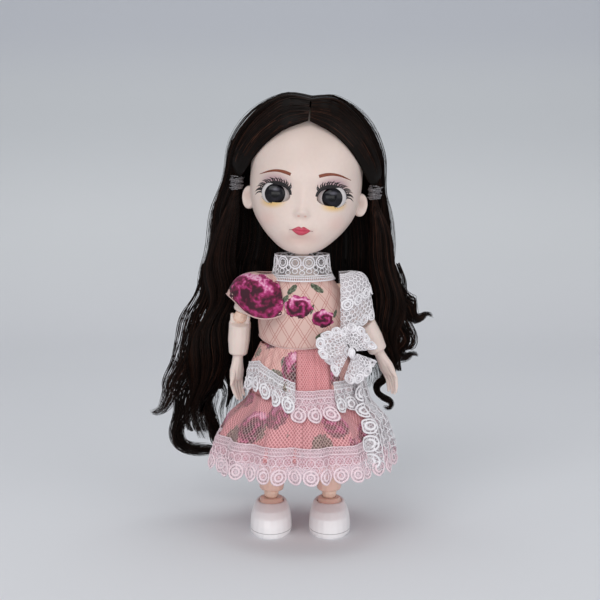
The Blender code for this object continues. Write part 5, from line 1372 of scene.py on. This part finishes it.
def print_finish(name, base, roses=(), leaves=(), scattered=0.0, net=False, alpha=1.0, seed=0.0, lines=0.62):
    """A printed cloth: a diamond lattice, roses and grey-green leaves; places are in millimetres on the cloth."""
    n, uv = cloth_stage(name)
    weave = n.noise(uv, 6.0, 2)
    ground = n.mix(weave, rgb(*[v * 0.95 for v in base]), rgb(*[min(255, v * 1.03) for v in base]))
    colour = n.mix(n.math("MULTIPLY", lattice(n, uv), lines), ground, rgb(168, 78, 74))
    wander = n.noise(uv, 0.7, 2)
    shift = n.math("MULTIPLY", n.math("SUBTRACT", wander, 0.5), 2.4)
    leaf_tone = n.ramp(n.noise(uv, 1.1, 2),
                       [(0.3, rgb(38, 46, 36)), (0.5, rgb(86, 94, 76)), (0.75, rgb(150, 156, 134))])
    for x, y, wide, high, turn in leaves:
        size = n.math("ADD", spot_on(n, uv, (x, y), (wide, high), turn)[0], n.math("MULTIPLY", shift, 0.20))
        colour = n.mix(n.math("LESS_THAN", size, 1.0), colour, leaf_tone)
    for k, (x, y, wide, high, turn) in enumerate(roses):
        size, a, b = spot_on(n, uv, (x, y), (wide, high), turn)
        edge = n.math("MULTIPLY", n.math("SINE", n.math("MULTIPLY", n.math("ARCTAN2", b, a), 6.0)), 0.07)
        rim = n.math("ADD", n.math("ADD", size, edge), n.math("MULTIPLY", shift, 0.20))
        colour = n.mix(n.math("LESS_THAN", rim, 1.0), colour, rose_paint(n, uv, size, a, b, seed + 5 * k))
    if scattered:
        spots = voronoi(n, n.vector("ADD", uv, (seed * 3.0 + 4.0, seed, 0)), 1 / 14.0, "F1", 0.8)
        size = n.math("DIVIDE", spots.outputs["Distance"], 0.42)
        off = n.vector("SUBTRACT", n.vector("ADD", uv, (seed * 3.0 + 4.0, seed, 0)),
                       spots.outputs["Position"])
        a, b = split(n, n.vector("MULTIPLY", off, (0.2, 0.2, 0.0)))[:2]
        rose = n.math("LESS_THAN", n.math("ADD", size, n.math("MULTIPLY", shift, 0.22)), 1.0)
        other = voronoi(n, n.vector("ADD", uv, (seed * 3.0 + 11.0, seed + 7.0, 0)), 1 / 14.0, "F1", 0.8)
        leaf = n.math("LESS_THAN", n.math("ADD", other.outputs["Distance"],
                                          n.math("MULTIPLY", shift, 0.10)), 0.36)
        colour = n.mix(n.math("MULTIPLY", leaf, scattered), colour, leaf_tone)
        petals = rose_paint(n, uv, size, a, b, seed)
        colour = n.mix(n.math("MULTIPLY", rose, scattered), colour, petals)
    n.bump(n.noise(uv, 9.0, 2), 0.12, 0.0001)
    if net or alpha < 1:
        mesh_share = net_mask(n, uv, 1.0, 0.72)
        colour = n.mix(n.math("MULTIPLY", mesh_share, 0.30), colour, rgb(246, 216, 216))
        see = n.math("ADD", n.math("MULTIPLY", mesh_share, 1 - alpha), alpha)
        n.wire(n.shader.inputs["Alpha"], see)
    return n.finish(colour, 0.62, Sheen_Weight=0.15, Specular_IOR_Level=0.3)


def net_mask(n, uv, pitch=0.62, open_share=0.62):
    """1 on the threads of a fine net and 0 in its holes."""
    x, y = split(n, uv)[:2]
    total = None
    for sign in (1, -1):
        t = n.math("DIVIDE", n.math("ADD", n.math("MULTIPLY", x, 0.8 * sign), n.math("MULTIPLY", y, 0.6)),
                   pitch)
        near = n.math("ABSOLUTE", n.math("SUBTRACT", n.math("FRACT", n.math("ADD", t, 200)), 0.5))
        line = n.math("GREATER_THAN", near, 0.5 * open_share)
        total = line if total is None else n.math("MAXIMUM", total, line)
    return total


def net_finish(name, light, dark, alpha=0.5, thread_alpha=1.0):
    n, uv = cloth_stage(name)
    colour = n.mix(n.noise(uv, 0.25, 3), rgb(*dark), rgb(*light))
    threads = net_mask(n, uv, 0.95, 0.68)
    colour = n.mix(n.math("MULTIPLY", threads, 0.45), colour, rgb(*[min(255, v * 1.12) for v in light]))
    see = n.math("ADD", n.math("MULTIPLY", threads, thread_alpha - alpha), alpha)
    n.wire(n.shader.inputs["Alpha"], see)
    return n.finish(colour, 0.7, Sheen_Weight=0.2, Specular_IOR_Level=0.25)


def thread_finish(name, light, dark):
    n = Nodes(name)
    where = n.place()
    colour = n.mix(n.noise(where, 900, 3), rgb(*dark), rgb(*light))
    n.bump(n.noise(where, 2600, 2), 0.35, 0.0001)
    return n.finish(colour, 0.72, Sheen_Weight=0.25, Specular_IOR_Level=0.3)


def satin_finish(name, light, dark):
    n, uv = cloth_stage(name)
    colour = n.mix(n.noise(uv, 0.3, 3), rgb(*dark), rgb(*light))
    n.bump(n.noise(uv, 8.0, 2), 0.15, 0.0001)
    return n.finish(colour, 0.45, Sheen_Weight=0.2, Specular_IOR_Level=0.4)


def skirt_rows(z):
    flip = -np.asarray(z, float)
    rows = np.array(LINING_ROWS)
    sizes = [np.interp(flip, -rows[:, 0], rows[:, k]) for k in (1, 2, 3)]
    grow = np.interp(flip, -rows[:6, 0], np.arange(6) / 5)
    return sizes, grow


def skirt_grid(top, bottom, rise, first=90, last=450, rows=14, columns=300, ruffle=0.0, waves=29, phase=0.0):
    """Points on the skirt from top to bottom between two angles; rise may change from top to bottom."""
    t = np.linspace(0, 1, rows)[:, None]
    angle = np.radians(np.linspace(first, last, columns))[None, :]
    top, bottom = (np.broadcast_to(np.asarray(v, float), (columns,))[None, :] for v in (top, bottom))
    z = top + (bottom - top) * t
    (half, front, back), grow = skirt_rows(z)
    high, low = rise if hasattr(rise, "__len__") else (rise, rise)
    out = high + (low - high) * t + 1.2 * grow * np.cos(13 * angle)
    wave = np.sin(waves * angle + phase + 0.9 * np.sin(5 * angle) + 0.8 * t)
    wave = wave * (0.75 + 0.45 * np.sin(3 * angle + phase)) + 0.5 * np.sin(1.7 * waves * angle + 2.3 * phase - 1.5 * t)
    out = out + ruffle * (0.3 + 0.7 * t) * wave
    x = (half + out) * np.cos(angle)
    y = (front + back) / 2 + ((back - front) / 2 + out) * np.sin(angle)
    return np.stack([x, y, z * np.ones_like(angle)], -1)


def lace_piece(name, surface, pitch, thread, net, head=0.24, inset=0.45, lift=0.14, width=None):
    """A lace edging: its fine ground as a sheet, and its threads."""
    width = width or surface.width
    ground = surface.sheet(name + "_ground", net, wall=0.06,
                           bottom=scallop_edge(surface.length, width, pitch, inset), columns=max(60,
                                                                                                 int(surface.length / pitch) * 10))
    verts, faces = laid(surface, lace(surface.length, width, pitch, head), lift)
    threads = build(name + "_threads", verts, faces, thread, None, slot="white_lace")
    return ground, threads


def oval_grid(rows, columns, bottom_dip=None, count=16):
    """Rows of Z, half width, front and back as a grid round the body, from the first row to the last."""
    rows = np.asarray(rows, float)
    t = np.linspace(0, 1, count)
    read = along(rows, t)
    angle = np.radians(np.linspace(90, 450, columns))[None, :]
    half, front, back = (read[:, k][:, None] for k in (1, 2, 3))
    x = half * np.cos(angle)
    y = (front + back) / 2 + (back - front) / 2 * np.sin(angle)
    z = read[:, 0][:, None] * np.ones_like(angle)
    if bottom_dip is not None:
        z = z + bottom_dip(angle) * (1 - t[:, None]) ** 3
    return np.stack([x, y, z], -1)


THREAD_WHITE = thread_finish("lace_thread_white", (250, 248, 250), (232, 227, 232))
THREAD_PINK = thread_finish("lace_thread_blush", (250, 234, 238), (234, 204, 213))
NET_WHITE = net_finish("lace_net_white", (240, 234, 238), (220, 210, 217), 0.22, 0.50)
NET_PINK = net_finish("lace_net_blush", (244, 214, 222), (230, 182, 194), 0.28, 0.58)
TULLE = net_finish("tulle_rose", (242, 176, 178), (226, 146, 152), 0.30, 0.66)
CORAL = satin_finish("coral_lining", (232, 136, 132), (214, 108, 108))
PIPING = thread_finish("piping", (226, 196, 190), (190, 150, 148))


def bodice():
    dip = lambda angle: -0.9 * np.clip(-np.sin(angle), 0,
                                       1) ** 2 + 3.0 * np.clip(np.cos(angle + np.radians(8)) ** 2, 0,
                                                               1) ** 1.4
    rows = oval_grid(BODICE_ROWS, 160, bottom_dip=dip)
    surface = Surface(rows[::-1])
    front = surface.length / 2
    roses = ((front - 1.2, 14.0, 4.8, 3.9, 0), (front + 7.2, 9.6, 3.9, 3.1, -20), (front + 26, 12, 5, 4, 0),
             (front - 27, 12, 5, 4, 0))
    leaves = ((front - 6.2, 16.2, 2.2, 0.9, 60), (front - 3.8, 20.2, 2.4, 1.2, 50),
              (front + 6.0, 20.6, 2.8, 1.3, -35),
              (front + 6.4, 3.8, 2.0, 0.9, 20), (front + 11.8, 10.6, 1.6, 0.7, 60), (front + 3.4, 13.0, 1.8,
                                                                                     0.5, 70))
    finish = print_finish("printed_bodice", (218, 184, 174), roses, leaves)
    piece = surface.sheet("dress_bodice", finish, wall=0.35, node="bodice", slot="printed_satin")
    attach(piece, "torso")
    u = np.linspace(0.1, surface.length - 0.1, 220)
    cord = build("bodice_piping", *laid(surface,
                                        [(np.stack([u, np.full(220, surface.width - 0.15)], -1)[None], 0.28,
                                          0.3, False)], 0.05), PIPING, "torso", slot="printed_satin")


def collar():
    surface = Surface(oval_grid(COLLAR_ROWS, 200))
    ground = surface.sheet("collar_ground",
                           net_finish("collar_net", (236, 228, 230), (206, 190, 192), 0.03,
                                      0.20), wall=0.06, node="collar_lace", slot="white_lace")
    length, width = surface.length, surface.width
    count = 12
    p = length / count
    mid = (np.arange(count) + 0.5) * p
    edge = np.arange(1, count) * p
    groups = [(rings(np.stack([mid, np.full(count, 2.5)], -1), p * 0.43, 2.1, 16), 0.34, 0.24, True),
              (rings(np.stack([mid, np.full(count, 2.5)], -1), p * 0.26, 1.3, 12), 0.22, 0.2, True)]
    for spots, v, wide, high in ((edge, 4.3, 0.9, 0.95), (mid, 5.6, 1.0, 0.85), (edge, 6.2, 0.95, 0.8)):
        groups.append((rings(np.stack([spots, np.full(len(spots), v)], -1), wide, high, 10), 0.18, 0.18,
                       True))
    u = np.linspace(0.05, length - 0.05, 240)
    for v, half in ((0.15, 0.2), (width - 2.3, 0.22), (width - 1.5, 0.16), (width - 0.25, 0.30)):
        groups.append((np.stack([u, np.full(240, v)], -1)[None], half, 0.22, False))
    bars = np.linspace(0.4, length - 0.4, 90)
    groups.append((np.stack([np.stack([bars, np.full(90, width - 2.3)], -1),
                             np.stack([bars, np.full(90, width - 0.3)], -1)], 1), 0.10, 0.14, False))
    threads = build("collar_threads", *laid(surface, groups), THREAD_WHITE, "torso", slot="white_lace")
    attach(ground, "torso")


def sleeve_grid(table, axis, sweep, fold, rows=16, columns=120, grow=0.0):
    side, front = (along(np.array(t), np.linspace(0, 1, rows)) for t in table)
    s = 1 if axis > 0 else -1
    turn = np.radians(np.linspace(*sweep, columns))[None, :] - (np.pi if s > 0 else 0)
    share = np.sin(turn) ** 2
    t = np.linspace(0, 1, rows)[:, None]
    z = side[:, 1:] + (front[:, 1:] - side[:, 1:]) * share
    reach = side[:, :1] + (front[:, :1] - side[:, :1]) * share + fold * t * np.cos(5 * turn) + grow
    return np.stack([axis + s * reach * np.cos(turn), reach * np.sin(turn), z], -1)


def sleeves():
    surface = Surface(sleeve_grid(FLOUNCE, -12.8, (-118, 112), 0.6), (-11.0, 0.0, 0.0))
    middle = surface.length / 2
    roses = ((middle - 10.8, 7.4, 12.6, 9.0, 0), (middle + 9.5, 7.0, 8.6, 7.0, 0),
             (middle + 23, 8.0, 6.5, 6.0, 0))
    leaves = ((middle - 23.5, 6.0, 1.6, 0.8, 60), (middle + 16.5, 3.0, 2.4, 1.2, 40))
    finish = print_finish("printed_flounce", (220, 186, 176), roses, leaves, seed=5.0)
    piece = surface.sheet("flounce", finish, wall=0.3, node="flounce_sleeve", slot="printed_satin")
    u = np.linspace(0.1, surface.length - 0.1, 160)
    edge = laid(surface, [(np.stack([u, np.full(160, surface.width - 0.15)], -1)[None], 0.3, 0.32, False)],
                0.0)
    cord = build("flounce_piping", *edge, PIPING, None, slot="printed_satin")
    for obj in (piece, cord):
        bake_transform(obj)
    for name, grow, cut in (("sleeve_lace", 0.0, 1.0), ("sleeve_lace_over", 0.7, 0.72)):
        grid = sleeve_grid(LACE_SLEEVE, 13.6, (92, 268), 1.0, grow=grow)
        surface = Surface(grid[:int(16 * cut)], (11.0, 0.0, 0.0))
        ground, threads = lace_piece(name, surface, 3.9, THREAD_WHITE, NET_WHITE, 0.10)
        for obj in (ground, threads):
            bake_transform(obj)
    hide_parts("lace_sleeve")


HALVES = (("right", 90, 270), ("left", 270, 450))


def hang(obj):
    """Skirt cloth hangs from the waist: it rides the torso, with a mesh of its own."""
    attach(obj, "torso")
    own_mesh(obj)


def gathered(piece, extra=()):
    for obj in (piece, *extra):
        hang(obj)


def skirt():
    tulle_print = print_finish("printed_tulle", (222, 146, 150), scattered=0.75, net=True, alpha=0.55,
                               seed=2.0, lines=0.12)
    for side, first, last in HALVES:
        lining = Surface(skirt_grid(71, 30.5, -0.35, first, last, columns=121))
        piece = lining.sheet("skirt_lining_" + side, CORAL, wall=0.3, slot="pink_tulle")
        gathered(piece)
        if side == "right":
            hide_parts("skirt_lining")
        under = Surface(skirt_grid(70.5, 32.5, (0.8, 1.1), first, last, columns=151, ruffle=0.42, waves=41))
        piece = under.sheet("tulle_under_" + side, TULLE, wall=0.08, slot="pink_tulle")
        gathered(piece)
        low = Surface(skirt_grid(53, 32.5, (1.5, 1.9), first, last, columns=151, ruffle=0.4, waves=41))
        shown = low.sheet("tulle_printed_" + side, tulle_print, wall=0.08, slot="pink_tulle")
        gathered(shown)
        band = Surface(skirt_grid(37.8, 25.0, (2.3, 2.9), first, last, columns=211, ruffle=0.75, waves=27,
                                  phase=0.6))
        ground, threads = lace_piece("hem_lace_" + side, band, 6.1, THREAD_PINK, NET_PINK, 0.22)
        gathered(ground, (threads,))
        if side == "right":
            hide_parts("hem_lace")
    panels()
    band = Surface(skirt_grid(56.4, 46.0, (2.2, 2.8), 259, 305, columns=90, ruffle=0.4, waves=31))
    ground, threads = lace_piece("middle_lace", band, 6.0, THREAD_PINK, NET_PINK)
    gathered(ground, (threads,))
    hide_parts("middle_trim")


def panels():
    """The two printed panels over the skirt, each with a lace trim along its lower edge."""
    leaves = ((48.5, 8.5, 1.5, 2.5, 20), (44.0, 3.6, 1.2, 2.0, -30))
    finish = print_finish("printed_chiffon", (226, 172, 162), leaves=leaves, scattered=0.9, net=True,
                          alpha=0.86, seed=7.0)
    hems = (("right", 96, 263, ((96, 53), (170, 59), (215, 61.5), (263, 55))),
            ("left", 303, 444, ((303, 55), (444, 53))))
    for side, first, last, hem in hems:
        turns, heights = np.array(hem, float).T
        bottom = np.interp(np.linspace(first, last, 170), turns, heights)
        surface = Surface(skirt_grid(71, bottom, (1.1, 2.5), first, last, columns=170, ruffle=0.5, waves=23))
        piece = surface.sheet("overskirt_" + side, finish, wall=0.12, slot="printed_satin")
        if side == "right":
            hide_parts("overskirt")
        gathered(piece)
        top = np.interp(np.linspace(first, last, 260), turns, heights) + 4.0
        band = Surface(skirt_grid(top, top - 10.5, (2.7, 3.5), first, last, columns=260, ruffle=0.6,
                                  waves=31))
        ground, threads = lace_piece(f"overskirt_{side}_lace", band, 6.0, THREAD_WHITE, NET_WHITE)
        gathered(ground, (threads,))


def cascade():
    rows = np.array(CASCADE_ROWS)
    t = np.linspace(0, 1, 60)
    read = along(rows, t)
    z, rise, share = read.T
    columns = 40
    q = np.linspace(0, 1, columns)[None, :]
    start = np.radians(350 - 37.0 * share)[:, None]
    end = np.radians(352 + 20 * share)[:, None]
    angle = start + (end - start) * q
    (half, front, back), grow = skirt_rows(z[:, None])
    out = rise[:, None] + 1.2 * grow * np.cos(13 * angle) + 0.9 * np.sin(q * 2 * np.pi * 3.5 + z[:,
                                                                                                 None] * 0.10)
    x = (half + out) * np.cos(angle)
    y = (front + back) / 2 + ((back - front) / 2 + out) * np.sin(angle)
    grid = np.stack([x, y, z[:, None] * np.ones_like(angle)], -1)
    across = np.transpose(grid, (1, 0, 2))[::-1]
    surface = Surface(across, (0.0, 0.0, 0.0))
    ground, threads = lace_piece("cascade_lace", surface, 6.2, THREAD_WHITE, NET_WHITE, 0.10)
    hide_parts("lace_cascade")
    gathered(ground, (threads,))


def fan(name, first, last, reach, centre, ruffle, waves, tilt):
    """A gathered fan of lace round a point, facing the front."""
    t = np.linspace(0, 1, 12)[:, None]
    angle = np.radians(np.linspace(first, last, 110))[None, :]
    radius = 1.2 + (reach * (1 + 0.14 * np.sin(3.3 * angle + reach)) - 1.2) * t
    x = centre[0] + radius * np.cos(angle)
    z = centre[2] + radius * np.sin(angle) * 0.95
    y = centre[1] + tilt * t + ruffle * t * (np.sin(waves * angle) + 0.5 * np.sin(1.7 * waves * angle + 2.0)) + 0.6 * (1 - t)
    surface = Surface(np.stack([x, y * np.ones_like(x), z], -1), (centre[0], 0.0, 0.0))
    ground, threads = lace_piece(name, surface, 3.1, THREAD_WHITE, NET_WHITE, 0.08, lift=0.1)
    for obj in (ground, threads):
        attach(obj, "torso")
    return surface, ground, threads


def bow():
    x, y, z = BOW_CENTRE
    parts = [fan("bow_loop_right", 112, 246, 11.2, (x - 0.4, y, z), 1.5, 7, 2.2),
             fan("bow_loop_left", 0, 126, 9.0, (x + 0.6, y + 0.6, z), 1.3, 8, 4.0),
             fan("bow_tail", 252, 338, 11.0, (x + 0.8, y + 0.8, z - 0.4), 1.3, 9, 1.8)]
    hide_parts("lace_bow")
    rows, columns = 18, 48
    up = np.linspace(-0.5, 0.5, rows)[:, None] * np.pi
    turn = 2 * np.pi * np.arange(columns)[None, :] / columns
    crumple = 1 + 0.16 * np.sin(7 * turn + 2 * up) + 0.08 * np.sin(3 * turn + 5 * up)
    knot = np.stack([x + 1.2 * crumple * np.cos(up) * np.cos(turn),
                     y - 0.4 - 1.1 * crumple * np.cos(up) * np.sin(turn),
                     z - 0.3 + 1.7 * np.sin(up) * crumple], -1)
    build("bow_knot", knot.reshape(-1, 3), grid_faces(rows, columns, closed=True, flip=True), THREAD_WHITE,
          "torso", slot="white_lace")


bodice()
collar()
sleeves()
skirt()
cascade()
bow()


# Stage, light and camera

def stage():
    floor_points, rows = [], 40
    for i in range(rows):
        t = i / (rows - 1)
        if t < 0.5:
            y, z = -2400 + 2800 * (t / 0.5), 0.0
        else:
            turn = min((t - 0.5) / 0.25, 1.0) * math.pi / 2
            y = 400 + 300 * math.sin(turn)
            z = 300 * (1 - math.cos(turn)) + max(t - 0.75, 0) * 3600
        floor_points.append([(-2400, y, z), (2400, y, z)])
    n = Nodes("backdrop_paper")
    where = n.place()
    # the paper darkens up the sweep: painted light falloff, brightest on the floor
    height = n.math("DIVIDE", split(n, where)[2], 0.26)
    paper_light_falloff = n.ramp(height, [(0.0, rgb(229, 230, 233)), (0.25, rgb(227, 229, 231)),
                            (0.70, rgb(208, 211, 214)), (1.0, rgb(197, 200, 207))])
    colour = n.mix(n.math("MULTIPLY", n.noise(where, 3, 2), 0.3), paper_light_falloff, rgb(214, 215, 219))
    n.finish(colour, 0.9, Specular_IOR_Level=0.1)
    points = np.array(floor_points, float)
    sheet = build("backdrop", points.reshape(-1, 3), grid_faces(rows, 2), n.material, None)


def lamp(name, place, aim, size, power):
    data = bpy.data.lights.new(name, "AREA")
    data.shape = "RECTANGLE"
    data.size, data.size_y = size
    data.energy = power
    obj = bpy.data.objects.new(name, data)
    bpy.context.scene.collection.objects.link(obj)
    obj.location = place
    obj.rotation_euler = (Vector(aim) - Vector(place)).to_track_quat("-Z", "Y").to_euler()


def light_and_camera():
    world = bpy.data.worlds.new("studio")
    bpy.context.scene.world = world
    world.use_nodes = True
    sky = world.node_tree.nodes["Background"]
    sky.inputs[0].default_value = (0.93, 0.96, 1.0, 1.0)
    sky.inputs[1].default_value = 0.40
    lamp("key", (-0.35, -0.75, 0.75), (0.0, 0.0, 0.09), (0.7, 0.5), 3.0)
    lamp("fill", (0.6, -0.6, 0.30), (0.0, 0.0, 0.07), (0.6, 0.6), 1.6)
    lamp("low", (-0.1, -0.8, 0.10), (0.0, 0.0, 0.04), (0.6, 0.3), 1.5)
    lamp("top", (0.0, 0.15, 0.85), (0.0, 0.0, 0.08), (0.8, 0.6), 1.7)
    camera = bpy.data.cameras.new("camera")
    camera.sensor_width = 36.0
    camera.lens = 36.0 * 1222 / 600
    camera.clip_start = 0.01
    eye = bpy.data.objects.new("camera", camera)
    bpy.context.scene.collection.objects.link(eye)
    eye.location = ((STAND[0] - 0.74) * MM, (STAND[1] - 450) * MM, 0.1434)
    eye.rotation_euler = (math.radians(90 - 7.2), 0, 0)
    bpy.context.scene.camera = eye
    bpy.context.scene.view_settings.view_transform = "Standard"


stage()
light_and_camera()
